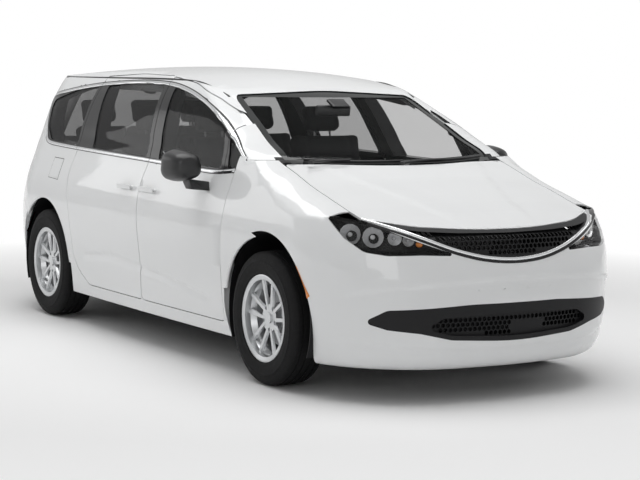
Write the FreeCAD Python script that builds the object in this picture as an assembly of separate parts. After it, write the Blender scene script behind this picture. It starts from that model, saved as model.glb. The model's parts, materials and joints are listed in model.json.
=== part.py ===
# Full-size family minivan, seven seats, front engine and front-wheel drive.
# Millimetres. +X points forward, +Y to the vehicle's left, +Z up. The origin lies on the ground,
# midway between the bumpers and between the sides. The steering wheel is on the right-hand side.
# The outer skin is two stacked lofts of rounded plan outlines, the lower body and the glasshouse,
# trimmed from above by a bonnet surface and a roof surface. Every panel is cut from that one skin.

import FreeCAD, Part
import math
import os

os.makedirs("parts", exist_ok=True)

V = FreeCAD.Vector
ORIGIN = V(0, 0, 0)
AXIS_X = V(1, 0, 0)
AXIS_Y = V(0, 1, 0)
AXIS_Z = V(0, 0, 1)

# Driving dimensions of the whole vehicle
length = 5176.0
half_width = 1006.0
roof_height = 1727.0
wheelbase = 3089.0
front_overhang = 996.0

nose_x = length / 2
tail_x = -length / 2
front_axle_x = nose_x - front_overhang
rear_axle_x = front_axle_x - wheelbase

# One overrun for every cutting body, so that no cut ends flush with a face
overrun = 60.0

# Depths below the outer surface at which the layers of the shell end
sheet_depth = 6.0
skin_depth = 12.0
wall_depth = 100.0
roof_depth = 42.0
screen_frame_depth = 110.0
screen_slope = 2.4

panel_gap = 5.0
bonnet_joint = 6.0
tailgate_joint = 8.0

# Wheels, arches and the liners behind the arches
wheel_radius = 368.0
tyre_width = 230.0
rim_radius = 238.0
wheel_plane_y = 862.0
axle_height = wheel_radius
arch_radius = 425.0
arch_lip_depth = 26.0
liner_radius = 455.0
liner_sheet = 6.0
front_arch_x = front_axle_x + 18.0
rear_arch_x = rear_axle_x + 5.0
arch_height = axle_height + 22.0
liner_inner_y = 530.0
rear_liner_inner_y = 705.0

# Levels and stations of the structure
sill_bottom = 212.0
floor_top = 286.0
floor_thickness = 56.0
load_floor_top = 520.0
load_floor_x = -1080.0
firewall_x = 1250.0
cowl_height = 1138.0
fender_top = 1226.0
hinge_x = 1075.0
hinge_y = 965.0


# Plan outlines of the lower body, each row a share of roof_height, half_width and half the length:
# height, half width, nose reach, tail reach, radius of the tail corner in half widths
LOWER_LEVEL_SHARES = (
    (0.104, 0.925, 0.968, 0.945, 0.80),
    (0.136, 0.952, 0.988, 0.972, 0.82),
    (0.191, 0.970, 0.997, 0.990, 0.83),
    (0.278, 0.988, 1.000, 1.000, 0.83),
    (0.370, 0.997, 0.999, 1.000, 0.83),
    (0.440, 1.000, 0.991, 0.994, 0.83),
    (0.498, 0.992, 0.976, 0.987, 0.83),
    (0.556, 0.971, 0.957, 0.980, 0.82),
    (0.614, 0.938, 0.931, 0.974, 0.81),
    (0.657, 0.912, 0.908, 0.969, 0.80),
    (0.7006, 0.8855, 0.888, 0.964, 0.79),
)

# Plan outlines of the glasshouse in the same shares, from the stacking height up
UPPER_LEVEL_SHARES = (
    (0.7006, 0.8855, 0.5545, 0.964, 0.79),
    (0.747, 0.8575, 0.4868, 0.957, 0.77),
    (0.793, 0.828, 0.4192, 0.949, 0.74),
    (0.8396, 0.793, 0.3505, 0.940, 0.70),
    (0.886, 0.749, 0.2815, 0.930, 0.65),
    (0.9206, 0.709, 0.2280, 0.920, 0.60),
    (0.9496, 0.670, 0.1650, 0.908, 0.55),
    (0.9728, 0.629, 0.0900, 0.892, 0.49),
    (0.990, 0.585, 0.0150, 0.872, 0.43),
    (1.0065, 0.525, -0.0700, 0.845, 0.36),
)

side_arc_radius = 60000.0
side_arc_middle_x = -150.0
nose_arc_radius = 2300.0
nose_corner_radius = 640.0
tail_arc_radius = 2600.0
screen_arc_radius = 2600.0
pillar_corner_radius = 150.0


def meeting_circle(ca, ra, cb, rb, radius, forward):
    """Centre of the circle of that radius that touches circles a and b from inside."""
    da, db = ra - radius, rb - radius
    gap = math.hypot(cb[0] - ca[0], cb[1] - ca[1])
    along = (da * da - db * db + gap * gap) / (2 * gap)
    off = math.sqrt(max(da * da - along * along, 0))
    ux, uy = (cb[0] - ca[0]) / gap, (cb[1] - ca[1]) / gap
    px, py = ca[0] + ux * along, ca[1] + uy * along
    both = [(px - uy * off, py + ux * off), (px + uy * off, py - ux * off)]
    return max(both) if forward else min(both)


def touch(centre, radius, other):
    """Where a circle meets the smaller one that touches it from inside."""
    dx, dy = other[0] - centre[0], other[1] - centre[1]
    d = math.hypot(dx, dy)
    return centre[0] + dx / d * radius, centre[1] + dy / d * radius


def arc_middle(centre, radius, a, b):
    mx, my = (a[0] + b[0]) / 2 - centre[0], (a[1] + b[1]) / 2 - centre[1]
    d = math.hypot(mx, my)
    return centre[0] + mx / d * radius, centre[1] + my / d * radius


def outline(z, half, front, rear, radii):
    """Closed plan outline of eight tangent arcs: nose, corners, sides and tail."""
    nose_r, nose_corner, tail_r, tail_corner = radii
    side = (side_arc_middle_x, half - side_arc_radius)
    nose = (front - nose_r, 0.0)
    tail = (rear + tail_r, 0.0)
    fc = meeting_circle(nose, nose_r, side, side_arc_radius, nose_corner, True)
    rc = meeting_circle(tail, tail_r, side, side_arc_radius, tail_corner, False)
    n1 = touch(nose, nose_r, fc)
    s1 = touch(side, side_arc_radius, fc)
    s2 = touch(side, side_arc_radius, rc)
    t1 = touch(tail, tail_r, rc)
    left = [
        (n1, arc_middle(fc, nose_corner, n1, s1), s1),
        (s1, arc_middle(side, side_arc_radius, s1, s2), s2),
        (s2, arc_middle(rc, tail_corner, s2, t1), t1),
    ]
    right = [tuple((p[0], -p[1]) for p in reversed(a)) for a in reversed(left)]
    back = [(t1, (rear, 0.0), (t1[0], -t1[1]))]
    face = [((n1[0], -n1[1]), (front, 0.0), n1)]
    arcs = left + back + right + face
    return Part.Wire([Part.Arc(*[V(p[0], p[1], z) for p in a]).toShape() for a in arcs])


def wall(levels, inset, face_inset, nose_r, corner_r):
    """Solid stack of plan outlines, brought in by inset at the sides and tail and by face_inset in front."""
    wires = [
        outline(
            height * roof_height,
            half * half_width - inset,
            nose * nose_x - face_inset,
            tail * tail_x + inset,
            (nose_r - inset, corner_r, tail_arc_radius - inset, corner * half_width - inset),
        )
        for height, half, nose, tail, corner in levels
    ]
    return Part.makeLoft(wires, True, False)


# Bonnet surface: centreline height against length from the tail, as shares of half the length
# and of roof_height, with the height of the fender shoulder at the same station
BONNET_STATION_SHARES = (
    (1.060, 0.440, 0.400),
    (1.000, 0.485, 0.440),
    (0.947, 0.520, 0.478),
    (0.889, 0.551, 0.500),
    (0.811, 0.583, 0.524),
    (0.734, 0.616, 0.548),
    (0.657, 0.648, 0.572),
    (0.595, 0.679, 0.604),
    (0.545, 0.702, 0.640),
    (0.500, 0.732, 0.695),
    (0.450, 0.770, 0.760),
    (0.380, 0.830, 0.830),
)
BONNET_WIDTH_SHARES = (0.0, 0.2, 0.4, 0.58, 0.72, 0.80, 0.86, 0.91, 0.95, 0.99, 1.04)
bonnet_crown_share = 0.012
fender_turn_share = 0.72
fender_shoulder_share = 0.94
fender_turn_power = 2.6

# Roof surface in the same shares: station, centreline height, crown at the roof's edge
ROOF_STATION_SHARES = (
    (0.480, 0.842, 0.006),
    (0.350, 0.876, 0.007),
    (0.236, 0.9165, 0.009),
    (0.180, 0.9385, 0.013),
    (0.100, 0.9640, 0.020),
    (0.000, 0.9840, 0.024),
    (-0.150, 0.9965, 0.026),
    (-0.310, 1.000, 0.027),
    (-0.500, 0.9955, 0.026),
    (-0.700, 0.9810, 0.022),
    (-0.850, 0.9630, 0.017),
    (-0.950, 0.9460, 0.015),
    (-1.050, 0.9260, 0.015),
)
ROOF_WIDTH_SHARES = (0.0, 0.2, 0.4, 0.55, 0.70, 0.85)
roof_crown_width_share = 0.65


def mirrored_shares(shares):
    return [-s for s in reversed(shares) if s > 0] + list(shares)


def surface_solid(rows, height):
    """Solid above an interpolated surface, reaching up by height."""
    surface = Part.BSplineSurface()
    surface.interpolate(rows)
    return surface.toShape().extrude(V(0, 0, height))


def above_bonnet(drop):
    rows = []
    for station, centre, shoulder in BONNET_STATION_SHARES:
        row = []
        for share in mirrored_shares(BONNET_WIDTH_SHARES):
            w = abs(share)
            height = centre - bonnet_crown_share * (w / fender_turn_share) ** 2
            if w > fender_turn_share:
                edge = centre - bonnet_crown_share
                turn = (w - fender_turn_share) / (fender_shoulder_share - fender_turn_share)
                height = edge - (edge - shoulder) * turn ** fender_turn_power
            row.append(V(station * nose_x, share * half_width, height * roof_height - drop))
        rows.append(row)
    return surface_solid(rows, roof_height)


def above_roof(drop):
    rows = []
    for station, centre, crown in ROOF_STATION_SHARES:
        row = []
        for share in mirrored_shares(ROOF_WIDTH_SHARES):
            height = centre - crown * (share / roof_crown_width_share) ** 2
            row.append(V(station * nose_x, share * half_width, height * roof_height - drop))
        rows.append(row)
    return surface_solid(rows, roof_height)


# The screen's foot fills the corner between the bonnet and the glasshouse
SCREEN_FOOT_SHARES = (
    (0.608, 0.8855, 0.6905, 0.0, 0.2),
    (0.6543, 0.8855, 0.6225, 0.0, 0.2),
    (0.7006, 0.8855, 0.5545, 0.0, 0.2),
)


def body_volume(inset, screen_inset, drop):
    """The whole body as one closed solid, brought in by inset, screen_inset and drop."""
    lower = wall(LOWER_LEVEL_SHARES, inset, inset, nose_arc_radius, nose_corner_radius)
    lower = lower.cut(above_bonnet(drop))
    foot = wall(SCREEN_FOOT_SHARES, inset, screen_inset, screen_arc_radius, pillar_corner_radius)
    upper = wall(UPPER_LEVEL_SHARES, inset, screen_inset, screen_arc_radius, pillar_corner_radius)
    upper = upper.cut(above_roof(drop))
    return lower.fuse([foot, upper])


# Outlines in side view, seen from the right: x as a share of nose_x, z and corner radius as shares
# of roof_height. They run once around each opening or panel.
FRONT_DOOR_SHARES = (
    (0.4389, 0.6520, 0.0069),
    (0.4378, 0.1700, 0.0174),
    (0.0245, 0.1700, 0.0174),
    (0.0379, 0.2982, 0.2316),
    (0.0147, 0.4991, 0.3474),
    (0.0073, 0.5854, 0.2316),
    (0.0178, 0.6659, 0.0347),
    (-0.0533, 0.9600, 0.0093),
    (0.0966, 0.9392, 0.5211),
    (0.2222, 0.8917, 0.5211),
    (0.3574, 0.8153, 0.0145),
    (0.3895, 0.6613, 0.0116),
)
SLIDING_DOOR_SHARES = (
    (0.0200, 0.1700, 0.0174),
    (-0.2905, 0.1700, 0.0347),
    (-0.3702, 0.2362, 0.2895),
    (-0.3999, 0.4378, 0.2895),
    (-0.4374, 0.5761, 0.1158),
    (-0.4281, 0.6642, 0.0347),
    (-0.4428, 0.9554, 0.0093),
    (-0.2318, 0.9682, 0.5211),
    (-0.0560, 0.9629, 0.0093),
    (0.0151, 0.6659, 0.0347),
    (0.0046, 0.5854, 0.2316),
    (0.0120, 0.4991, 0.3474),
    (0.0352, 0.2982, 0.2316),
)
FRONT_WINDOW_SHARES = (
    (0.0618, 0.6717, 0.0104),
    (0.3756, 0.6636, 0.0127),
    (0.3416, 0.7944, 0.0232),
    (0.2052, 0.8720, 0.5211),
    (-0.0077, 0.9288, 0.0104),
)
SLIDING_WINDOW_SHARES = (
    (-0.3354, 0.6856, 0.0104),
    (-0.0039, 0.6752, 0.0104),
    (-0.0696, 0.9323, 0.0104),
    (-0.2318, 0.9369, 0.5211),
    (-0.3995, 0.9218, 0.0104),
)
QUARTER_WINDOW_SHARES = (
    (-0.4444, 0.6891, 0.0104),
    (-0.6337, 0.6983, 0.0347),
    (-0.6847, 0.7441, 0.0521),
    (-0.7342, 0.8512, 0.0261),
    (-0.5912, 0.9010, 0.5211),
    (-0.4583, 0.9195, 0.0104),
)
FRONT_QUARTER_SHARES = (
    (0.4057, 0.6659, 0.0081),
    (0.4598, 0.6763, 0.0232),
    (0.4760, 0.6902, 0.0093),
    (0.3663, 0.7829, 0.0081),
)
FRONT_BUMPER_SHARES = (
    (0.6569, 0.0347, 0.0),
    (0.6569, 0.4447, 0.0),
    (0.7600, 0.4922, 0.1737),
    (0.8161, 0.5443, 0.0116),
    (0.8161, 0.7238, 0.0),
    (1.0626, 0.7238, 0.0),
    (1.0626, 0.0347, 0.0),
)
REAR_BUMPER_SHARES = (
    (-0.6569, 0.0347, 0.0),
    (-0.6569, 0.2895, 0.0),
    (-0.7573, 0.3243, 0.0347),
    (-0.8037, 0.3544, 0.0463),
    (-1.0626, 0.3578, 0.0),
    (-1.0626, 0.0347, 0.0),
)
TAIL_LAMP_SHARES = (
    (-0.8416, 0.5385, 0.0116),
    (-0.8153, 0.6427, 0.0347),
    (-0.8250, 0.6925, 0.0104),
    (-1.0626, 0.6960, 0.0),
    (-1.0626, 0.5339, 0.0),
)

# Outlines seen from the front or from behind, right half only: y as a share of half_width, z and
# corner radius as shares of roof_height. The other half is their mirror image.
WINDSCREEN_SHARES = (
    (0.0, 0.6659, 1.7371),
    (-0.7177, 0.6821, 0.0405),
    (-0.6183, 0.9045, 0.0347),
    (0.0, 0.9207, 1.7371),
)
TAILGATE_SHARES = (
    (-0.6243, 0.3509, 0.0347),
    (-0.6481, 0.5385, 0.1737),
    (-0.6362, 0.6891, 0.1737),
    (-0.5716, 0.9033, 0.1158),
    (-0.5567, 1.0191, 0.0),
)
TAILGATE_WINDOW_SHARES = (
    (0.0, 0.6879, 1.7371),
    (-0.5567, 0.6977, 0.0347),
    (-0.5089, 0.9033, 0.0290),
    (0.0, 0.9149, 1.7371),
)
GRILLE_SHARES = (
    (0.0, 0.5194, 1.4476),
    (-0.2982, 0.5223, 1.4476),
    (-0.5179, 0.5292, 0.5211),
    (-0.7336, 0.5512, 0.0035),
    (-0.3429, 0.4493, 0.0695),
    (-0.1968, 0.4372, 0.5211),
    (0.0, 0.4308, 1.4476),
)
INTAKE_SHARES = (
    (0.0, 0.1841, 1.4476),
    (-0.3807, 0.1969, 0.1158),
    (-0.5457, 0.2189, 0.1158),
    (-0.6958, 0.2293, 0.0347),
    (-0.7952, 0.2501, 0.0116),
    (-0.7008, 0.2884, 0.0347),
    (-0.2714, 0.3023, 0.5211),
)

# Outlines seen from above, right half only: x as a share of nose_x, y of half_width, radius of
# roof_height
ROOF_PANEL_SHARES = (
    (0.2473, -0.6481, 0.0174),
    (0.1839, -0.6680, 0.1737),
    (0.0827, -0.6511, 0.5211),
    (-0.0433, -0.6362, 0.8686),
    (-0.4250, -0.6183, 0.8686),
    (-0.8520, -0.5567, 0.0058),
)
BONNET_SHARES = (
    (0.6028, 0.0, 1.4476),
    (0.5448, -0.7316, 0.0145),
    (0.7342, -0.7406, 1.7371),
    (0.8597, -0.7336, 0.0069),
    (0.9158, -0.5288, 0.2895),
    (0.9474, -0.1988, 0.8686),
)

# Headlamp outline looking back and in at 45 degrees: distance along the view plane as a share of
# nose_x, height and radius as shares of roof_height
HEADLAMP_SHARES = (
    (0.3331, 0.5576, 0.0058),
    (0.4084, 0.5518, 0.0116),
    (0.6028, 0.4470, 0.0046),
    (0.5313, 0.4511, 0.1158),
    (0.4672, 0.4488, 0.1158),
    (0.4212, 0.4574, 0.0579),
    (0.3767, 0.4957, 0.0579),
)


def rounded_face(points, place):
    """Flat face whose corners are rounded: points are (a, b, radius), placed in space by place(a, b)."""
    count = len(points)
    ends = []
    for i, (a, b, radius) in enumerate(points):
        pa, pb = points[i - 1][:2]
        na, nb = points[(i + 1) % count][:2]
        back = math.hypot(pa - a, pb - b)
        ahead = math.hypot(na - a, nb - b)
        ua, ub = (pa - a) / back, (pb - b) / back
        va, vb = (na - a) / ahead, (nb - b) / ahead
        half_angle = math.acos(max(-1.0, min(1.0, ua * va + ub * vb))) / 2
        run = min(radius / math.tan(half_angle), min(back, ahead) / 2.1)
        bisector = math.hypot(ua + va, ub + vb)
        if run <= 0 or bisector < 0.001:
            ends.append((place(a, b), None, place(a, b)))
            continue
        arc_radius = run * math.tan(half_angle)
        depth = arc_radius / math.sin(half_angle) - arc_radius
        middle = place(a + (ua + va) / bisector * depth, b + (ub + vb) / bisector * depth)
        ends.append((place(a + ua * run, b + ub * run), middle, place(a + va * run, b + vb * run)))
    edges = []
    for i, (start, middle, end) in enumerate(ends):
        if middle is not None:
            edges.append(Part.Arc(start, middle, end).toShape())
        edges.append(Part.LineSegment(end, ends[(i + 1) % count][0]).toShape())
    return Part.Face(Part.Wire(edges))


def grown(face, growth):
    return face.makeOffset2D(growth) if growth else face


def scaled(rows, across, up):
    return [(a * across, b * up, r * roof_height) for a, b, r in rows]


def both_halves(rows):
    """Right-half rows followed by their mirror image across the centre plane."""
    return list(rows) + [(-a, b, r) for a, b, r in reversed(rows) if a]


def side_prism(rows, growth=0.0, inner=0.4, outer_share=1.1):
    """Side-view outline swept through the right wall, between two shares of half_width."""
    face = grown(rounded_face(scaled(rows, nose_x, roof_height), lambda a, b: V(a, 0, b)), growth)
    face.translate(V(0, -outer_share * half_width, 0))
    return face.extrude(V(0, (outer_share - inner) * half_width, 0))


def end_prism(rows, start_share, end_share, growth=0.0):
    """Front-view outline swept along the length, between two shares of nose_x."""
    points = scaled(both_halves(rows), half_width, roof_height)
    face = grown(rounded_face(points, lambda a, b: V(0, a, b)), growth)
    face.translate(V(start_share * nose_x, 0, 0))
    return face.extrude(V((end_share - start_share) * nose_x, 0, 0))


def plan_prism(rows, low_share, high_share, growth=0.0):
    """Plan outline swept upright, between two shares of roof_height."""
    points = [(x * nose_x, y * half_width, r * roof_height) for x, y, r in rows]
    points += [(x, -y, r) for x, y, r in reversed(points) if y]
    face = grown(rounded_face(points, lambda a, b: V(a, b, 0)), growth)
    face.translate(V(0, 0, low_share * roof_height))
    return face.extrude(V(0, 0, (high_share - low_share) * roof_height))


def diagonal_prism(rows, inner_share, growth=0.0):
    """Outline swept outward at 45 degrees through the right front corner."""
    slant = math.sqrt(0.5)
    face = rounded_face(scaled(rows, nose_x, roof_height), lambda a, b: V(a * slant, a * slant, b))
    face = grown(face, growth)
    reach = inner_share * nose_x
    face.translate(V(reach * slant, -reach * slant, 0))
    return face.extrude(V(nose_x * slant, -nose_x * slant, 0))


def box(x0, x1, y0, y1, z0, z1):
    return Part.makeBox(x1 - x0, y1 - y0, z1 - z0, V(x0, y0, z0))


def mirrored(shape):
    return shape.mirror(ORIGIN, AXIS_Y)


def pair(shape):
    """The right piece and its mirror image on the left, as two solids that don't touch."""
    return Part.makeCompound([shape, mirrored(shape)])


def save(name, shape):
    shape.exportStep("parts/" + name + ".step")


def across_cylinder(x, z, radius, y0, y1):
    return Part.makeCylinder(radius, y1 - y0, V(x, y0, z), AXIS_Y)


def arch_cut(x, inner_y):
    """Opening through the skin at the right wheel, wider behind the lip."""
    mouth = across_cylinder(x, arch_height, arch_radius, -1.1 * half_width, -inner_y)
    behind = across_cylinder(x, arch_height, liner_radius, arch_lip_depth - half_width, -inner_y)
    return mouth.fuse(behind)


outer = body_volume(0, 0, 0)
under_sheet = body_volume(sheet_depth, sheet_depth * screen_slope, sheet_depth)
under_skin = body_volume(skin_depth, skin_depth * screen_slope, skin_depth)
cabin = body_volume(wall_depth, screen_frame_depth, roof_depth)

far = 2 * length
outer_right = outer.common(box(-far, far, -far, 0, -far, far))
front_arch = arch_cut(front_arch_x, liner_inner_y)
rear_arch = arch_cut(rear_arch_x, rear_liner_inner_y)
door_front_x = FRONT_DOOR_SHARES[0][0] * nose_x
tailgate_x = -0.856 * nose_x


def side_glass(rows):
    """Pane that fills a side opening just below the outer surface."""
    return side_prism(rows).cut(under_skin).common(under_sheet)


front_door_glass = side_glass(FRONT_WINDOW_SHARES)
save("front_door_glass_right", front_door_glass)
save("front_door_glass_left", mirrored(front_door_glass))
save("sliding_door_glass", pair(side_glass(SLIDING_WINDOW_SHARES)))
save("quarter_glass", pair(side_glass(QUARTER_WINDOW_SHARES)))
save("front_quarter_glass", pair(side_glass(FRONT_QUARTER_SHARES)))

windscreen_aperture = end_prism(WINDSCREEN_SHARES, 0.1, 0.72)
bonnet_bay = plan_prism(BONNET_SHARES, 0.5, 0.8, bonnet_joint)
windscreen = windscreen_aperture.cut(under_skin).common(under_sheet).cut(bonnet_bay)
# The screen's lower corners stay out of the way of the bonnet's rear edge as it swings about its hinge
bonnet_hinge_x = 1412.0
bonnet_hinge_z = 1168.0
bonnet_sweep_radius = 29.0
bonnet_sweep_y = 625.0
for y0, y1 in ((-half_width, -bonnet_sweep_y), (bonnet_sweep_y, half_width)):
    windscreen = windscreen.cut(across_cylinder(bonnet_hinge_x, bonnet_hinge_z, bonnet_sweep_radius, y0, y1))
save("windscreen", windscreen)
tail_aperture = end_prism(TAILGATE_WINDOW_SHARES, -1.1, -0.8)
save("tailgate_glass", tail_aperture.cut(under_skin).common(under_sheet))


def level_half(height):
    """Half width of the body at a height given as a share of roof_height."""
    levels = LOWER_LEVEL_SHARES + UPPER_LEVEL_SHARES[1:]
    for low, high in zip(levels, levels[1:]):
        if height <= high[0]:
            run = (height - low[0]) / (high[0] - low[0])
            return (low[1] + (high[1] - low[1]) * run) * half_width
    return levels[-1][1] * half_width


def swing_volume(rows, heights):
    """Solid swept about the front hinge line through the rear edge of a door outline."""
    face = rounded_face(scaled(rows, nose_x, roof_height), lambda a, b: V(a, 0, b))
    rim = [V(0, 0, 0)]
    for share in heights:
        z = share * roof_height
        edge_x = face.common(Part.makeLine(V(tail_x, 0, z), V(nose_x, 0, z))).BoundBox.XMin
        radius = math.hypot(hinge_x - edge_x, hinge_y - level_half(share)) + swing_spare
        if share == heights[0]:
            rim.append(V(radius, 0, 0))
        rim.append(V(radius, 0, z))
    rim += [V(rim[-1].x, 0, 1.1 * roof_height), V(0, 0, 1.1 * roof_height), V(0, 0, 0)]
    volume = Part.Face(Part.makePolygon(rim)).revolve(ORIGIN, AXIS_Z, 360)
    volume.translate(V(hinge_x, -hinge_y, 0))
    return volume


# Inner face of the doors seen from the front, then closed outside: shares of half_width and roof_height
DOOR_WALL_SHARES = (
    (-0.860, 0.10), (-0.895, 0.35), (-0.895, 0.45), (-0.800, 0.666), (-0.700, 0.83), (-0.600, 0.94), (-0.560, 0.99),
    (-1.200, 0.99), (-1.200, 0.10), (-0.860, 0.10),
)
door_wall = Part.Face(Part.makePolygon([V(tail_x, a * half_width, b * roof_height) for a, b in DOOR_WALL_SHARES]))
door_wall = door_wall.extrude(V(length, 0, 0)).cut(plan_prism(ROOF_PANEL_SHARES, 0.7, 1.2, panel_gap))

# Doors: plugs as thick as the wall. The front one clears its neighbours as it swings.
DOOR_EDGE_HEIGHT_SHARES = (0.19, 0.25, 0.30, 0.35, 0.43, 0.50, 0.55, 0.585, 0.625, 0.666, 0.71, 0.78, 0.86, 0.92, 0.955)
swing_spare = 1.5
front_edge_radius = 63.0
front_door = door_wall.common(side_prism(FRONT_DOOR_SHARES)).cut(side_prism(FRONT_WINDOW_SHARES)).common(outer_right)
front_edge = box(hinge_x, nose_x, -far, -hinge_y, 0, far)
front_edge = front_edge.cut(Part.makeCylinder(front_edge_radius, far, V(hinge_x, -hinge_y, 0)))
front_door = front_door.cut(front_edge).common(swing_volume(FRONT_DOOR_SHARES, DOOR_EDGE_HEIGHT_SHARES))

# Front door hinges: the pin stands in a pocket of the door, the eye reaches round from the pillar
pin_radius = 5.0
pin_gap = 0.3
eye_radius = 11.0
lug_half = 16.0
lug_gap = 5.0
pin_bite = 15.0
arm_half_width = 8.0
arm_inner_y = 843.0
HINGE_HEIGHT_SHARES = (0.324, 0.463)
hinge_arms = []
for share in HINGE_HEIGHT_SHARES:
    z = share * roof_height
    pocket = box(
        hinge_x - eye_radius - lug_gap, door_front_x + panel_gap, -hinge_y - eye_radius - 0.8 * lug_gap, 0,
        z - lug_half - lug_gap, z + lug_half + lug_gap,
    )
    pin_half = lug_half + lug_gap + pin_bite
    pin = Part.makeCylinder(pin_radius, 2 * pin_half, V(hinge_x, -hinge_y, z - pin_half))
    front_door = front_door.cut(pocket).fuse(pin)
    arm = box(hinge_x - arm_half_width, hinge_x + arm_half_width, -hinge_y, -arm_inner_y, z - lug_half, z + lug_half)
    foot = box(
        hinge_x - arm_half_width, door_front_x + panel_gap, -arm_inner_y - 2 * arm_half_width, -arm_inner_y,
        z - lug_half, z + lug_half,
    )
    eye = Part.makeCylinder(eye_radius, 2 * lug_half, V(hinge_x, -hinge_y, z - lug_half))
    bore = Part.makeCylinder(pin_radius + pin_gap, 4 * lug_half, V(hinge_x, -hinge_y, z - 2 * lug_half))
    hinge_arms.append(arm.fuse([foot, eye]).cut(bore))

# Pull handles: a grip on two feet outside each door, start and end as shares of nose_x
handle_height_share = 0.5660
handle_depth = 30.0
handle_grip = 9.0
handle_rise = 15.0
FRONT_HANDLE_SHARES = (0.022, 0.102)
SLIDING_HANDLE_SHARES = (-0.098, -0.025)


def handle(ends):
    z = handle_height_share * roof_height
    y = -level_half(handle_height_share) - handle_depth
    start, end = (share * nose_x for share in ends)
    grip = box(start, end, y, y + handle_grip, z - handle_rise, z + handle_rise)
    grip = grip.makeFillet(handle_grip / 3, grip.Edges)
    feet = [
        Part.makeCylinder(handle_grip, 2 * handle_depth, V(x, y + handle_grip / 2, z), AXIS_Y)
        for x in (start + 2 * handle_grip, end - 2 * handle_grip)
    ]
    return grip.fuse(feet)


front_door = front_door.fuse(handle(FRONT_HANDLE_SHARES))
save("front_door_right", front_door)
save("front_door_left", mirrored(front_door))
sliding_door = door_wall.common(side_prism(SLIDING_DOOR_SHARES)).cut(side_prism(SLIDING_WINDOW_SHARES))
sliding_door = sliding_door.common(outer_right).fuse(handle(SLIDING_HANDLE_SHARES))
save("sliding_doors", pair(sliding_door))

# Roller carriages fill the joint round a sliding door at three places
carriage_length = 90.0
carriage_depth = 24.0
carriage_y = 890.0
ring = side_prism(SLIDING_DOOR_SHARES, panel_gap).cut(side_prism(SLIDING_DOOR_SHARES))
CARRIAGE_PLACE_SHARES = ((-0.12, 0.168), (-0.43, 0.50))
carriages = []
for along_share, height_share in CARRIAGE_PLACE_SHARES:
    x = along_share * nose_x
    z = height_share * roof_height
    room = box(
        x - carriage_length / 2, x + carriage_length / 2, -carriage_y - carriage_depth / 2, -carriage_y + carriage_depth / 2,
        z - carriage_length / 2, z + carriage_length / 2,
    )
    carriages.append(ring.common(room))
carriages = Part.makeCompound(carriages)
save("sliding_door_rollers", pair(carriages))

# Body sides: all that lies between the doors, the roof, the front end and the tailgate
door_mouths = side_prism(FRONT_DOOR_SHARES, panel_gap).fuse(side_prism(SLIDING_DOOR_SHARES, panel_gap))
roof_plan = plan_prism(ROOF_PANEL_SHARES, 0.7, 1.2)
tailgate_mouth = end_prism(TAILGATE_SHARES, -1.2, -0.852, tailgate_joint)
side_frame = outer_right
for cutter in (
    box(door_front_x + panel_gap, far, -far, 0, -overrun, fender_top),
    box(-far, far, -far, 0, -overrun, sill_bottom),
    tailgate_mouth,
    side_prism(REAR_BUMPER_SHARES, 0.0, 0.0),
    roof_plan,
    side_prism(TAIL_LAMP_SHARES, 0.0, 0.6),
    windscreen_aperture,
    door_mouths,
    side_prism(QUARTER_WINDOW_SHARES).fuse(side_prism(FRONT_QUARTER_SHARES)),
    rear_arch,
    cabin,
):
    side_frame = side_frame.cut(cutter)
save("side_frames", pair(side_frame))

roof_panel = outer.common(roof_plan).cut(windscreen_aperture).cut(cabin)
tailgate = outer.common(end_prism(TAILGATE_SHARES, -1.2, -0.856)).cut(tail_aperture).cut(cabin)

# Lid hinges: a pin across a notch or bracket on one panel, an eye on an arm of the other
lid_pin_radius = 3.5
lid_eye_radius = 7.0
lid_eye_half = 8.0
lid_gap = 5.0
lid_arm_half = 3.5
tail_hinge_x = -2201.0
tail_hinge_z = 1655.0
tail_hinge_y = 220.0
for y in (-tail_hinge_y, tail_hinge_y):
    notch_half = lid_eye_half + lid_gap
    notch_reach = lid_eye_radius + lid_gap
    notch = box(
        tail_hinge_x - notch_reach, tail_hinge_x + notch_reach, y - notch_half, y + notch_half,
        tail_hinge_z - roof_depth, roof_height,
    )
    pin = across_cylinder(tail_hinge_x, tail_hinge_z, lid_pin_radius, y - 2 * notch_half, y + 2 * notch_half)
    roof_panel = roof_panel.cut(notch).fuse(pin)
    arm = box(
        tailgate_x - lid_gap, tail_hinge_x, y - lid_eye_half, y + lid_eye_half,
        tail_hinge_z - 2 * lid_arm_half, tail_hinge_z,
    )
    eye = across_cylinder(tail_hinge_x, tail_hinge_z, lid_eye_radius, y - lid_eye_half, y + lid_eye_half)
    bore = across_cylinder(tail_hinge_x, tail_hinge_z, lid_pin_radius + pin_gap, y - notch_half, y + notch_half)
    tailgate = tailgate.fuse(arm.fuse(eye).cut(bore))
save("roof_panel", roof_panel)
save("tailgate", tailgate)

# Front end: bonnet, fenders, bumper cover, grille, lamps and cowl
grille_zone = end_prism(GRILLE_SHARES, 0.82, 1.1)
intake_zone = end_prism(INTAKE_SHARES, 0.86, 1.1)
lamp_zone = diagonal_prism(HEADLAMP_SHARES, 0.3)
bonnet_plan = plan_prism(BONNET_SHARES, 0.5, 0.8)
bumper_zone = side_prism(FRONT_BUMPER_SHARES, 0.0, 0.0)
nose = outer.common(box(door_front_x + panel_gap, far, -far, far, 0, fender_top))
nose_right = nose.common(box(-far, far, -far, 0, -far, far))

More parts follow.
